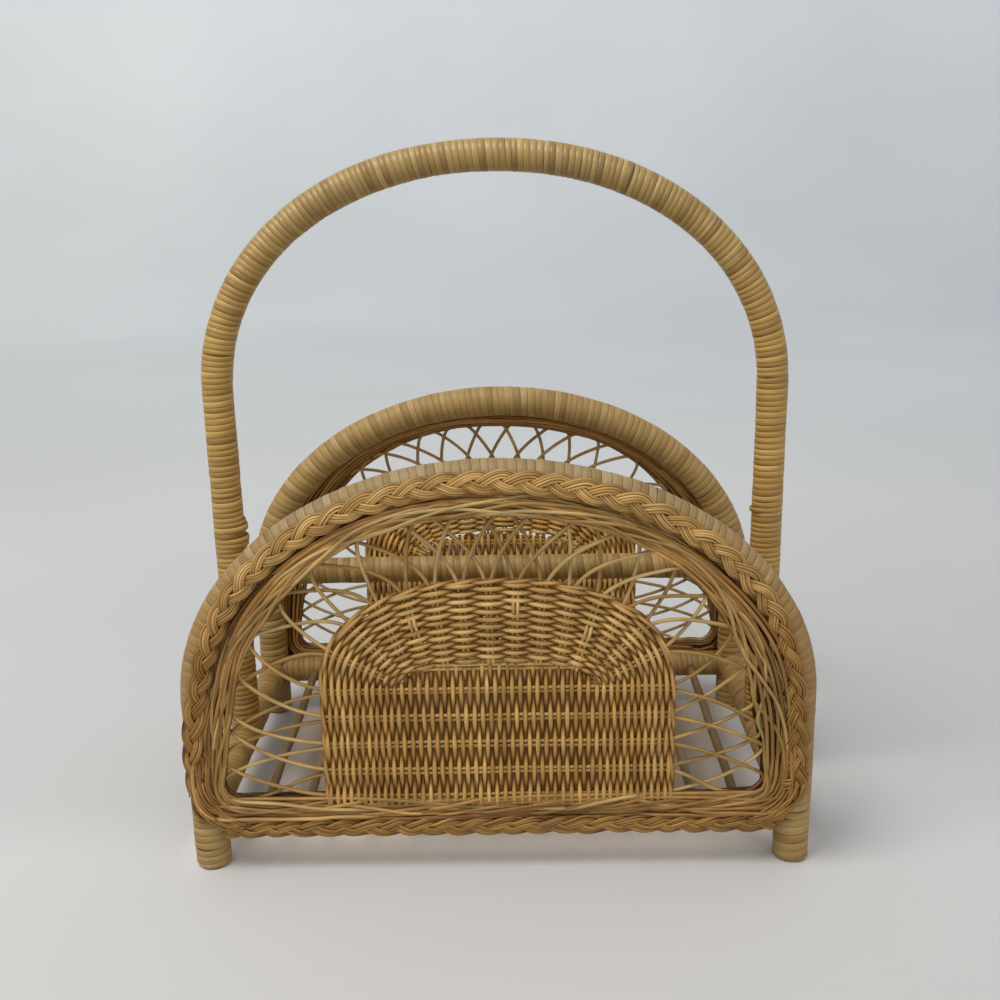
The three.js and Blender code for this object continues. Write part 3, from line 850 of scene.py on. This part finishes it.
hoop_line = arch(LEG_X, PEEL_FOOT, HOOP_SPRING, HOOP_RISE, ELLIPSE)
hoop_length = run_lengths(hoop_line)[-1]
handle_line = arch(LEG_X, HANDLE_FOOT, HANDLE_SPRING, HANDLE_RISE, HANDLE_FULLNESS)


def upright(points, y):
    return np.column_stack([points[:, 0], np.full(len(points), y), points[:, 1]])


def on_line(line, x, z):
    """How far along a line the point nearest to (x, z) lies."""
    return run_lengths(line)[np.argmin(np.linalg.norm(line - [x, z], axis=1))]


wind_pole("front_hoop", upright(hoop_line, -HOOP_Y), ALONG_Y, 3, FRONT_HOOP_PEEL,
          slits=[(hoop_length - 0.0265, 0.66, 0.17, 0.0016, 0.0022),
                 (hoop_length - 0.034, 0.50, 0.22, 0.0007, 0.0010),
                 (0.034, 0.50, 0.26, 0.0006, 0.0008),
                 (0.012, 0.42, 0.20, 0.0006, 0.0008)],
          laps=[(on_line(hoop_line, 0.1648, 0.1952), 0.60, 0.32, 0.0015),
                (on_line(hoop_line, 0.1605, 0.1818), 0.62, 0.25, 0.0009),
                (on_line(hoop_line, -0.1393, 0.2168), 0.45, 0.32, 0.0014)])
wind_pole("rear_hoop", upright(hoop_line, HOOP_Y), ALONG_Y, 4, REAR_HOOP_PEEL)

# The handle's left leg carries a short stack of thick turns: their heights, and how proud each stands
LEFT_STACK = [(0.168, 0.0016), (0.173, 0.0022), (0.178, 0.0026), (0.183, 0.0024), (0.188, 0.0014)]
wind_pole("handle", upright(handle_line, 0.0), ALONG_Y, 5, HANDLE_PEEL,
          slits=[(on_line(handle_line, 0.0854, 0.4062), 0.50, 0.24, 0.0011, 0.0012),
                 (on_line(handle_line, 0.1737, 0.2828), 0.62, 0.20, 0.0010, 0.0012),
                 (on_line(handle_line, -0.1751, 0.3022), 0.50, 0.30, 0.0008, 0.0011)],
          laps=[(on_line(handle_line, 0.1693, 0.1954), 0.72, 0.16, 0.0018),
                (on_line(handle_line, -0.0721, 0.4015), 0.40, 0.14, 0.0011)]
          + [(on_line(handle_line, -LEG_X, z), 0.74, 0.24, proud) for z, proud in LEFT_STACK])

# Straight bars: middle, how far the ends lie to either side of it, and what wind_pole asks for
to_leg = (LEG_X - TUCK, 0.0, 0.0)
to_hoop = (0.0, HOOP_Y - TUCK, 0.0)
for name, middle, half, side, seed, peel in (
        ("front_rail", (0.0, -HOOP_Y, RAIL_HEIGHT), to_leg, ALONG_Y, 6, RAIL_PEEL),
        ("rear_rail", (0.0, HOOP_Y, RAIL_HEIGHT), to_leg, ALONG_Y, 7, RAIL_PEEL),
        ("left_rail", (-LEG_X, 0.0, RAIL_HEIGHT), to_hoop, ALONG_Z, 8, RAIL_PEEL),
        ("right_rail", (LEG_X, 0.0, RAIL_HEIGHT), to_hoop, ALONG_Z, 9, RAIL_PEEL),
        ("divider", (0.0, 0.0, DIVIDER_HEIGHT), to_leg, ALONG_Y, 10, DIVIDER_PEEL)):
    ends = np.array([np.subtract(middle, half), np.add(middle, half)])
    wind_pole(name, evenly(ends, LINE_STEP), side, seed, peel)


# Panels: the woven centre

leg_rows = FIRST_ROW + ROW_PITCH * np.arange(LEG_ROWS)


def weave_edge(share, side):
    """Half width and rise of the woven arch at a share of the way in from its outer edge."""
    crown_width = ARCH_CROWN_WIDTH if side > 0 else REAR_CROWN_WIDTH
    return WEAVE_HALF - ARCH_LEG_WIDTH * share, WEAVE_RISE - crown_width * share


def weave_top(x, half, rise):
    return WEAVE_SPRING + rise * (1 - abs(x / half) ** WEAVE_FULLNESS) ** (1 / WEAVE_FULLNESS)


edge_half, edge_rise = weave_edge(0.0, 1)


def arch_weaver(share, side):
    """An arch weaver in even steps: the count of stakes passed and the point (x, z) at each."""
    half, rise = weave_edge(share, side)
    leg = np.linspace(WEAVE_FOOT, WEAVE_SPRING, LEG_POINTS)
    angles = np.linspace(math.pi, 0.0, TOP_POINTS)
    top = dome(half, WEAVE_SPRING, rise, WEAVE_FULLNESS, angles)
    stake_x = np.array(OUTER_STAKE_X) * (1 - share) + np.array(INNER_STAKE_X) * share
    stake_angles = np.arccos(np.sign(stake_x) * np.abs(stake_x / half) ** (WEAVE_FULLNESS / 2))
    leg_counts = (leg - FIRST_ROW) / ROW_PITCH
    spring_count = leg_counts[-1]
    known_angles = np.concatenate([[math.pi], stake_angles, [0.0]])
    top_known = LEG_ROWS + np.arange(TOP_STAKES)
    known_counts = np.concatenate([[spring_count], top_known, [LAST_ROW - spring_count]])
    top_counts = np.interp(-angles, -known_angles, known_counts)
    left, right = (np.column_stack([np.full(LEG_POINTS, x), z]) for x, z in ((-half, leg), (half, leg[::-1])))
    counts = np.concatenate([leg_counts, top_counts, LAST_ROW - leg_counts[::-1]])
    keep = np.concatenate([[True], np.diff(counts) > 1e-6])
    counts = counts[keep]
    at = np.arange(counts[0], counts[-1], 1 / STEPS_PER_STAKE)
    return at, along(np.vstack([left, top, right])[keep], counts, at)


def weaver_girths(counts, spread=1.0):
    """Reeds lie pressed together where they cross between two stakes."""
    return (0.84 + 0.16 * np.cos(math.pi * counts) ** 2) * spread


def arch_lines(side, draws):
    """The weavers that run up, over and down the arch, and two reeds twined along its outer edge."""
    for weaver in range(ARCH_WEAVERS):
        at, path = arch_weaver((weaver + 0.5) / ARCH_WEAVERS, side)
        x, z = moved_out(path, wander(len(at), ARCH_WEAVER_SHIFT, 9, draws))
        stake_spacing = np.linalg.norm(np.gradient(path, axis=0), axis=1) * STEPS_PER_STAKE
        room = np.clip((stake_spacing - 0.003) / 0.007, 0.15, 1.0)
        swing = WEAVE_SWING * (1 + wander(len(at), SWING_CHANCE, 8, draws)) * room
        forward = PANEL_FORWARD + swing * np.cos(math.pi * (at + weaver))
        climb = np.clip((z - WEAVE_SPRING) / WEAVE_RISE, 0.0, 1.0)
        yield panel_place(side, x, forward, z), weaver_girths(at + weaver, 1 + 0.12 * climb)
    at, path = arch_weaver(TWINE_SHARE, side)
    for twist in (0.0, 1.0):
        x, z = moved_out(path, TWINE_OUT * np.sin(math.pi * (at + twist)))
        forward = PANEL_FORWARD + TWINE_FORWARD * np.cos(math.pi * (at + twist))
        yield panel_place(side, x, forward, z), TWINE_GIRTH


def centre_lines(side, draws):
    """The upright weavers inside the arch."""
    half, rise = weave_edge(1.0, side)
    for weaver in range(INNER_WEAVERS):
        middle = -half + (weaver + 0.5) * 2 * half / INNER_WEAVERS
        top = weave_top(middle, half, rise)
        foot = WEAVE_FOOT + draws.uniform(-0.0015, 0.0008)
        z = np.arange(foot, top - 0.0004, ROW_PITCH / STEPS_PER_STAKE)
        counts = (z - FIRST_ROW) / ROW_PITCH + (ARCH_WEAVERS + weaver)
        x = middle + wander(len(z), CENTRE_WEAVER_SHIFT, 8, draws)
        swing = WEAVE_SWING * (1 + wander(len(z), SWING_CHANCE, 8, draws))
        forward = PANEL_FORWARD + swing * np.cos(math.pi * counts)
        near_top = np.clip((z - (top - 0.009)) / 0.009, 0.0, 1.0)
        forward = forward * (1 - near_top) + (PANEL_FORWARD - 0.0006) * near_top
        yield panel_place(side, x, forward, z), weaver_girths(counts)


def fanned_stakes(side):
    """The stakes over the top: where each leaves the weave, its direction, and where it starts inside."""
    half, rise = weave_edge(1.0, side)
    for outer_x, inner_x in zip(OUTER_STAKE_X, INNER_STAKE_X):
        outer = np.array([outer_x, weave_top(outer_x, edge_half, edge_rise)])
        inner = np.array([inner_x, weave_top(inner_x, half, rise)])
        yield outer, (outer - inner) / np.linalg.norm(outer - inner), inner


def stake_lines(side, draws):
    """The parts of the stakes that lie inside the woven centre."""
    twins = (-TWIN_HALF_GAP, TWIN_HALF_GAP)
    for height in leg_rows:
        for twin in twins:
            x = np.arange(-edge_half - 0.002, edge_half + 0.002, STAKE_STEP)
            z = height + twin + wander(len(x), 0.0003, 6, draws)
            yield panel_place(side, x, PANEL_FORWARD, z), 1.0
    for twin in twins:
        top_row = LEG_ROWS * ROW_PITCH + FIRST_ROW - 0.0025
        yield panel_place(side, np.arange(-0.054, 0.055, STAKE_STEP), PANEL_FORWARD, top_row + twin), 1.0
    share = np.linspace(-0.04, 1.0, 27)
    for outer, heading, inner in fanned_stakes(side):
        forward = np.full(len(share), PANEL_FORWARD)
        if abs(inner[0]) > 0.05:
            forward -= STAKE_SETBACK * np.clip(1 - share / 0.35, 0.0, 1.0)
        surfaces = SURFACING_STAKES.get(round(outer[0], 4))
        if surfaces is not None:
            forward += 0.0040 * np.exp(-((share - surfaces) / 0.11) ** 2)
        for twin in twins:
            path = inner * (1 - share[:, None]) + outer * share[:, None] + turned(heading) * twin
            yield panel_place(side, path[:, 0], forward, path[:, 1]), 1.0


# Panels: the border bundle and the open net

def field_rim():
    """The field's outline from the left leg over the top, down and back along the sill, closed on itself."""
    corner = np.linspace(0.0, math.pi / 2, 12)[1:]
    left = FIELD_HALF - FIELD_CORNER
    floor = SILL_TOP + FIELD_CORNER
    cosine = FIELD_CORNER * np.cos(corner)
    sine = FIELD_CORNER * np.sin(corner)
    right_corner = np.column_stack([left + cosine, floor - sine])
    left_corner = np.column_stack([-left - sine, floor - cosine])
    outline = np.vstack([
        [-FIELD_HALF, floor], dome(FIELD_HALF, FIELD_SPRING, FIELD_RISE, ELLIPSE), [FIELD_HALF, floor],
        right_corner, [-left, SILL_TOP], left_corner])
    return evenly(outline, LINE_STEP)


rim = field_rim()
rim_lengths = run_lengths(rim)
rim_total = rim_lengths[-1]
rim_outward = turned(directions(rim))
rim_width = by_hand(rim, (BUNDLE_HEIGHTS, BUNDLE_LEFT_WIDTHS), (BUNDLE_HEIGHTS, BUNDLE_RIGHT_WIDTHS))
rim_in = by_hand(rim, (RIM_HEIGHTS, RIM_LEFT_IN), (RIM_HEIGHTS, RIM_RIGHT_IN))
rim_in *= np.where(rim[:, 1] < 0.070, np.abs(rim_outward[:, 0]), 1.0)
rim = rim - rim_outward * rim_in[:, None]
rim_to_hoop = np.array([np.linalg.norm(hoop_line - point, axis=1).min() for point in rim])
rim_table = np.column_stack([rim, rim_outward, rim_width + rim_in, rim_to_hoop])


def on_rim(at):
    """At lengths along the rim: place, outward direction, the bundle's width, the distance to the hoop."""
    found = along(rim_table, rim_lengths, np.asarray(at) % rim_total)
    return found[:, :2], unit(found[:, 2:4]), found[:, 4], found[:, 5]


def bundle_points(at, width_share, wiggle):
    """Reeds in the bundle: (x, forward, z) at a share of its width, lifted clear of the poles behind."""
    point, outward, width, to_hoop = on_rim(at)
    out = width * width_share
    place = point + outward * out[:, None]
    forward = PANEL_FORWARD + wiggle
    for reach, pole in ((to_hoop - out, HOOP_RADIUS), (place[:, 1] - RAIL_HEIGHT, RAIL_RADIUS)):
        forward = np.maximum(forward, lift_over(pole + BUNDLE_REED, reach) + 0.35 * wiggle)
    return np.column_stack([place[:, 0], forward, place[:, 1]])


weave_outline = evenly(np.vstack([
    [-edge_half, FIRST_ROW], dome(edge_half, WEAVE_SPRING, edge_rise, WEAVE_FULLNESS),
    [edge_half, FIRST_ROW]]), LINE_STEP)
edge_lengths = run_lengths(weave_outline)
edge_total = edge_lengths[-1]
edge_leg = WEAVE_SPRING - FIRST_ROW
rim_arch = rim_lengths[np.argmax((rim[:, 0] > 0) & (rim[:, 1] <= SILL_TOP + FIELD_CORNER + LINE_STEP))]


def rim_for(edge_at):
    """The length along the rim that faces a length along the woven edge."""
    over_top = min(max((edge_at - edge_leg) / (edge_total - 2 * edge_leg), 0.0), 1.0)
    foot_drop = FIRST_ROW - (SILL_TOP + FIELD_CORNER)
    return edge_at + foot_drop + (rim_arch - 2 * foot_drop - edge_total) * over_top


def stake_roots(side):
    """Every place where twin stakes leave the woven centre: (x, z), direction, length along its edge."""
    for height in leg_rows:
        yield np.array([-edge_half, height]), np.array([-1.0, 0.0]), height - FIRST_ROW
    for outer, heading, _ in fanned_stakes(side):
        yield outer, heading, edge_lengths[np.argmin(np.linalg.norm(weave_outline - outer, axis=1))]
    for height in leg_rows[::-1]:
        yield np.array([edge_half, height]), np.array([1.0, 0.0]), edge_total - (height - FIRST_ROW)


def bundle_tail(start, turn_side, draws):
    """The rest of a stake, from its bend on: in and out across the bundle, its end under the other reeds."""
    run = draws.uniform(0.100, 0.150)
    travelled = np.linspace(0.0, run, int(run / TAIL_STEP))
    shares = [ELBOW_SHARE, 0.05, draws.uniform(0.40, 0.66), draws.uniform(0.88, 1.08)]
    share = np.interp(travelled / run, [0.0, 0.16, 0.45, 1.0], shares)
    share = share + wander(len(travelled), 0.05, 9, draws) * np.clip(travelled / 0.02, 0, 1)
    crest = draws.uniform(0.0004, 0.0040)
    layer = np.interp(travelled / run, [0.0, 0.14, 0.55, 1.0], [-0.0022, crest, crest, -0.0020])
    layer = layer + wander(len(travelled), 0.0005, 9, draws)
    return bundle_points(start + turn_side * travelled, share, layer)


def net_lines(side, draws):
    """Twin stakes: each leaves the weave, drifts to its own side and turns in to run on in the bundle."""
    for start, heading, edge_at in stake_roots(side):
        over_top = heading[1] > 0.1
        for drift_side in (-1, 1):
            aside = turned(heading) * TWIN_HALF_GAP * -drift_side
            twin = start + aside
            drift = (TOP_DRIFT if over_top else LEG_DRIFT) * draws.uniform(0.80, 1.18)
            aim = edge_at + drift_side * drift
            if aim < 0.0:
                aim *= DRIFT_PAST_FOOT
            if aim > edge_total:
                aim = edge_total + (aim - edge_total) * DRIFT_PAST_FOOT
            target = rim_for(aim)
            point, outward, width, _ = on_rim([target])
            rim_run = -turned(outward[0])
            elbow = point[0] + outward[0] * width[0] * ELBOW_SHARE
            distance = np.linalg.norm(elbow - twin)
            straight = (elbow - twin) / distance
            lean = float(straight @ rim_run)
            turn_side = math.copysign(1.0, lean) if abs(lean) > 0.12 else drift_side
            tail = bundle_tail(target, turn_side, draws)
            leave = heading * draws.uniform(0.45, 0.75) + straight * 0.50
            arrive = straight * 0.85 + rim_run * turn_side * draws.uniform(0.16, 0.40)
            span = hermite(twin, leave * distance, elbow, arrive * distance, 16)[:-1]
            level = drift_side * 0.0011
            part = np.linspace(0.0, 1.0, len(span))
            rise = np.interp(part, [0.0, 0.2, 0.8, 1.0], [0.0, level, level, -0.0012])
            inside = start - heading * 0.006 + aside
            path = np.vstack([
                [inside[0], PANEL_FORWARD, inside[1]],
                np.column_stack([span[:, 0], PANEL_FORWARD + rise, span[:, 1]]), tail])
            path = softened(path, ELBOW_REACH, NET_STEP)
            yield panel_place(side, *path.T), tapered(len(path), 1.0, 0.6)


def bundle_lines(side, draws):
    """Long reeds that run right round the bundle and cross each other at shallow angles."""
    for filler in range(BUNDLE_FILLERS):
        start = rim_total * (0.86 + 0.02 * filler)
        at = start + np.linspace(0.0, rim_total * 1.02, 190)
        layer = filler % 3
        swing = math.tau * at / FILLER_WAVES[layer] + 2.1 * layer
        own = 0.08 + 0.90 * filler / (BUNDLE_FILLERS - 1)
        share = np.maximum(own + 0.19 * np.sin(swing) + wander(len(at), 0.03, 10, draws), 0.03)
        wiggle = FILLER_LAYERS[layer] + wander(len(at), 0.0006, 10, draws)
        yield panel_place(side, *bundle_points(at, share, wiggle).T), tapered(len(at))


def corner_lift(path, reed):
    """How far forward a reed at each point (x, z) lies on the leg and on the rail."""
    on_leg = lift_over(HOOP_RADIUS + reed, path[:, 0] - LEG_X)
    return np.maximum(on_leg, lift_over(RAIL_RADIUS + reed, path[:, 1] - RAIL_HEIGHT))


def corner_sweeps(side, draws):
    """Outer reeds of the bundle that come down each leg, turn in and run on above the sill's plait."""
    turn = np.linspace(0.0, math.pi / 2, 9)
    for hand, leg_run in ((-1, LEG_X + 0.0072), (1, LEG_X - 0.0018)):
        for reed in range(SWEEP_REEDS):
            part = reed / (SWEEP_REEDS - 1) + draws.uniform(-0.03, 0.03)
            out = leg_run - 0.0170 * part
            low = 0.0345 + 0.0125 * part
            bend = 0.0125 + 0.0060 * part + draws.uniform(-0.002, 0.003)
            top = 0.088 - 0.010 * part + draws.uniform(-0.006, 0.006)
            end = draws.uniform(0.060, 0.104)
            arc = np.column_stack([out - bend + bend * np.cos(turn), low + bend - bend * np.sin(turn)])
            path = np.vstack([[out - 0.0015 * part, top], arc, [end, low + draws.uniform(-0.001, 0.003)]])
            path = softened(path, 0.006, 0.004)
            path = path + np.column_stack([wander(len(path), 0.0006, 6, draws) for _ in range(2)])
            forward = np.maximum(corner_lift(path, BUNDLE_REED), PANEL_FORWARD - 0.001) + 0.0012 * (reed % 3)
            forward = forward + wander(len(path), 0.0004, 6, draws)
            run = run_lengths(path)
            shown = np.interp(run, [0.0, 0.012, run[-1] - 0.018, run[-1]], [0.0, 1.0, 1.0, 0.0])
            forward = forward - 0.0040 * (1 - shown)
            yield panel_place(side, hand * path[:, 0], forward, path[:, 1]), 0.35 + 0.65 * shown


def sill_crossings(side, draws):
    """Short ends of stakes that cross over the level reeds above the sill's plait."""
    part = np.linspace(-1.0, 1.0, 15)
    for reed in range(SILL_CROSSINGS):
        middle = 0.300 * (reed + draws.uniform(0.2, 0.8)) / SILL_CROSSINGS - 0.150
        half = draws.uniform(0.020, 0.036)
        height = draws.uniform(0.0405, 0.0455)
        climb = draws.uniform(0.0022, 0.0038) * (1 if reed % 3 else -1)
        crest = draws.uniform(0.0014, 0.0034)
        z = height + climb * np.sin(0.5 * math.pi * part)
        lift = lift_over(RAIL_RADIUS + BUNDLE_REED, z - RAIL_HEIGHT)
        forward = np.maximum(lift, PANEL_FORWARD) + crest - 0.0052 * part ** 4
        yield panel_place(side, middle + half * part, forward, z), tapered(len(part), 0.6, 0.6)


# Panels: the plaits and their loose ends

hoop_front = arch(LEG_X, PLAIT_LEFT_FOOT, HOOP_SPRING, HOOP_RISE, ELLIPSE, PLAIT_RIGHT_FOOT)
sill_ends = np.array([[-SILL_PLAIT_HALF, SILL_PLAIT_HEIGHT], [SILL_PLAIT_HALF, SILL_PLAIT_HEIGHT]])
sill_line = evenly(sill_ends, LINE_STEP)


def plait_lines(side, draws, axis, radius, shift, swing, reed_pitch, lift, wave, loose):
    """Three strands plaited flat on the face of a pole. Each strand is a ribbon of parallel reeds.

    shift is how far the plait lies out from the pole's foremost line, and swing how far its strands
    reach to either side of that. loose is how uneven they are."""
    lengths = run_lengths(axis)
    total = lengths[-1]
    count = int(total / wave * 18)
    run = np.linspace(0.0, total, count)
    shift_at = np.interp(run, lengths, np.broadcast_to(shift, len(lengths)))
    for strand in range(3):
        phase = math.tau * strand / 3
        beat = math.tau * run / wave + phase + wander(count, loose, 9, draws)
        reach = swing * (1 + wander(count, 0.08 + loose * 0.3, 9, draws))
        slope = reach * math.tau / wave * np.cos(beat)
        square = np.column_stack([-slope, np.ones(count)]) / np.sqrt(1 + slope ** 2)[:, None]
        for reed in range(PLAIT_REEDS):
            offset = (reed - (PLAIT_REEDS - 1) / 2) * reed_pitch
            offset = offset + wander(count, 0.00016 + loose * 0.0012, 9, draws)
            at = np.clip(run + square[:, 0] * offset, 0.0, total)
            w = reach * np.sin(beat) + square[:, 1] * offset
            height = PLAIT_REED + lift + lift * np.sin(2 * beat)
            height = height + wander(count, 0.00012 + loose * 0.001, 7, draws)
            out = unit(along(turned(directions(axis)), lengths, at))
            from_axis = radius + height
            angle = (w + shift_at) / from_axis
            x, z = (along(axis, lengths, at) + out * (from_axis * np.sin(angle))[:, None]).T
            yield panel_place(side, x, from_axis * np.cos(angle), z), tapered(count, 0.7, 0.5)


def loosened_strands(side, draws):
    """Reeds that leave the foot of the hoop's plait and turn in to the start of the sill's plait."""
    for hand, outer, inner, foot, end_x, end_z in (
            (-1, 0.1880, 0.1775, 0.063, 0.158, 0.034), (1, 0.1860, 0.1735, 0.059, 0.154, 0.0325)):
        for strand in range(SPLIT_ENDS):
            part = strand / (SPLIT_ENDS - 1) + draws.uniform(-0.04, 0.04)
            start = np.array([outer + (inner - outer) * part, foot + draws.uniform(-0.003, 0.003)])
            end = np.array([end_x + draws.uniform(-0.004, 0.004), end_z - 0.0050 + 0.0085 * part])
            fall = np.linalg.norm(end - start)
            path = hermite(start, np.array([0.0, -1.25 * fall]), end, np.array([-0.9 * fall, 0.0]), 16)
            forward = np.maximum(corner_lift(path, PLAIT_REED), PANEL_FORWARD) + 0.0026
            forward = forward + 0.0008 * (strand % 2) + wander(len(path), 0.0005, 5, draws)
            forward[0] -= 0.0020
            yield panel_place(side, hand * path[:, 0], forward, path[:, 1]), tapered(len(path), 0.5, 0.6)


def frayed_ends(side, draws):
    """Thin split ends where the hoop's plait stops on either leg."""
    for hand, middle, foot in ((-1, LEG_X + 0.0036, PLAIT_LEFT_FOOT), (1, LEG_X, PLAIT_RIGHT_FOOT)):
        for fibre in range(SPLIT_ENDS):
            out = middle + draws.uniform(-0.0055, 0.0055)
            fall = draws.uniform(0.006, 0.014)
            drop = np.linspace(0.0, 1.0, 7)
            x = out + draws.uniform(-0.004, 0.003) * drop ** 2
            z = foot + 0.004 - fall * drop
            forward = lift_over(HOOP_RADIUS + 0.0007, x - LEG_X) + 0.0004
            forward = forward + draws.uniform(0.0, 0.0012) * drop ** 2
            yield panel_place(side, hand * x, forward, z), np.linspace(0.75, 0.35, len(drop))
    for stub in range(4):
        part = np.linspace(0.0, 1.0, 5)
        x = LEG_X - 0.0045 - 0.0075 * part
        z = 0.0595 - 0.0016 * stub - 0.0030 * part + draws.uniform(-0.0004, 0.0004)
        forward = lift_over(HOOP_RADIUS + 0.0030, x - LEG_X) + 0.0012
        yield panel_place(side, x, forward, z), 1.0


def border_lines(side, draws):
    for made in (bundle_lines, corner_sweeps, sill_crossings):
        yield from made(side, draws)


def hoop_plait_lines(side, draws):
    out = by_hand(hoop_front, PLAIT_LEFT_OUT, PLAIT_RIGHT_OUT)
    yield from plait_lines(side, draws, hoop_front, HOOP_RADIUS, shift=out, swing=0.0048, reed_pitch=0.00148,
                           lift=0.0012, wave=0.0475, loose=0.10)
    yield from frayed_ends(side, draws)
    yield from loosened_strands(side, draws)


def sill_plait_lines(side, draws):
    return plait_lines(side, draws, sill_line, RAIL_RADIUS, shift=-0.0018, swing=0.0038, reed_pitch=0.00155,
                       lift=0.0013, wave=0.048, loose=0.26)


for name, side, weavers in (("front", 1, weave_reed), ("rear", -1, rear_weave_reed)):
    draws = np.random.default_rng(100 + side)
    for piece, node_name, make, radius, finish, sides in (
            ("arch_weavers", "woven_arch", arch_lines, WEAVER_RADIUS, weavers, 6),
            ("centre_weavers", "woven_centre", centre_lines, WEAVER_RADIUS, weavers, 6),
            ("centre_stakes", None, stake_lines, STAKE_RADIUS, woven_stake, 6),
            ("net_stakes", "stake_lattice", net_lines, NET_STAKE_RADIUS, net_reed, 8),
            ("bundle_reeds", "border_bundle", border_lines, BUNDLE_REED, bundle_reed, 8),
            ("hoop_plaiting", "hoop_plait", hoop_plait_lines, PLAIT_REED, plait_reed, 8),
            ("sill_plaiting", "sill_plait", sill_plait_lines, SILL_REED, sill_reed, 8)):
        slot = "plaited_reed" if "plait" in piece else "woven_reed"
        nodes = [name + "_" + node_name] if node_name else []
        lay_reeds(name + "_" + piece, make(side, draws), radius, finish, nodes, sides)


# Floor slats

slat_names = sorted(node_name for node_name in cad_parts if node_name.startswith("slat"))
slat_draws = np.random.default_rng(41)
slat_lines = []
for node_name in slat_names:
    low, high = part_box(node_name)
    x = (low.x + high.x) / 2 + wander(SLAT_PLACES, 0.0006, 8, slat_draws)
    y = np.linspace(low.y - SLAT_PAST_END, high.y + SLAT_PAST_END, SLAT_PLACES)
    slat_lines.append((np.column_stack([x, y, np.full(SLAT_PLACES, RAIL_HEIGHT)]), 1.0))
lay_reeds("floor_slats", slat_lines, SLAT_RADIUS, slat_cane, slat_names, sides=10)
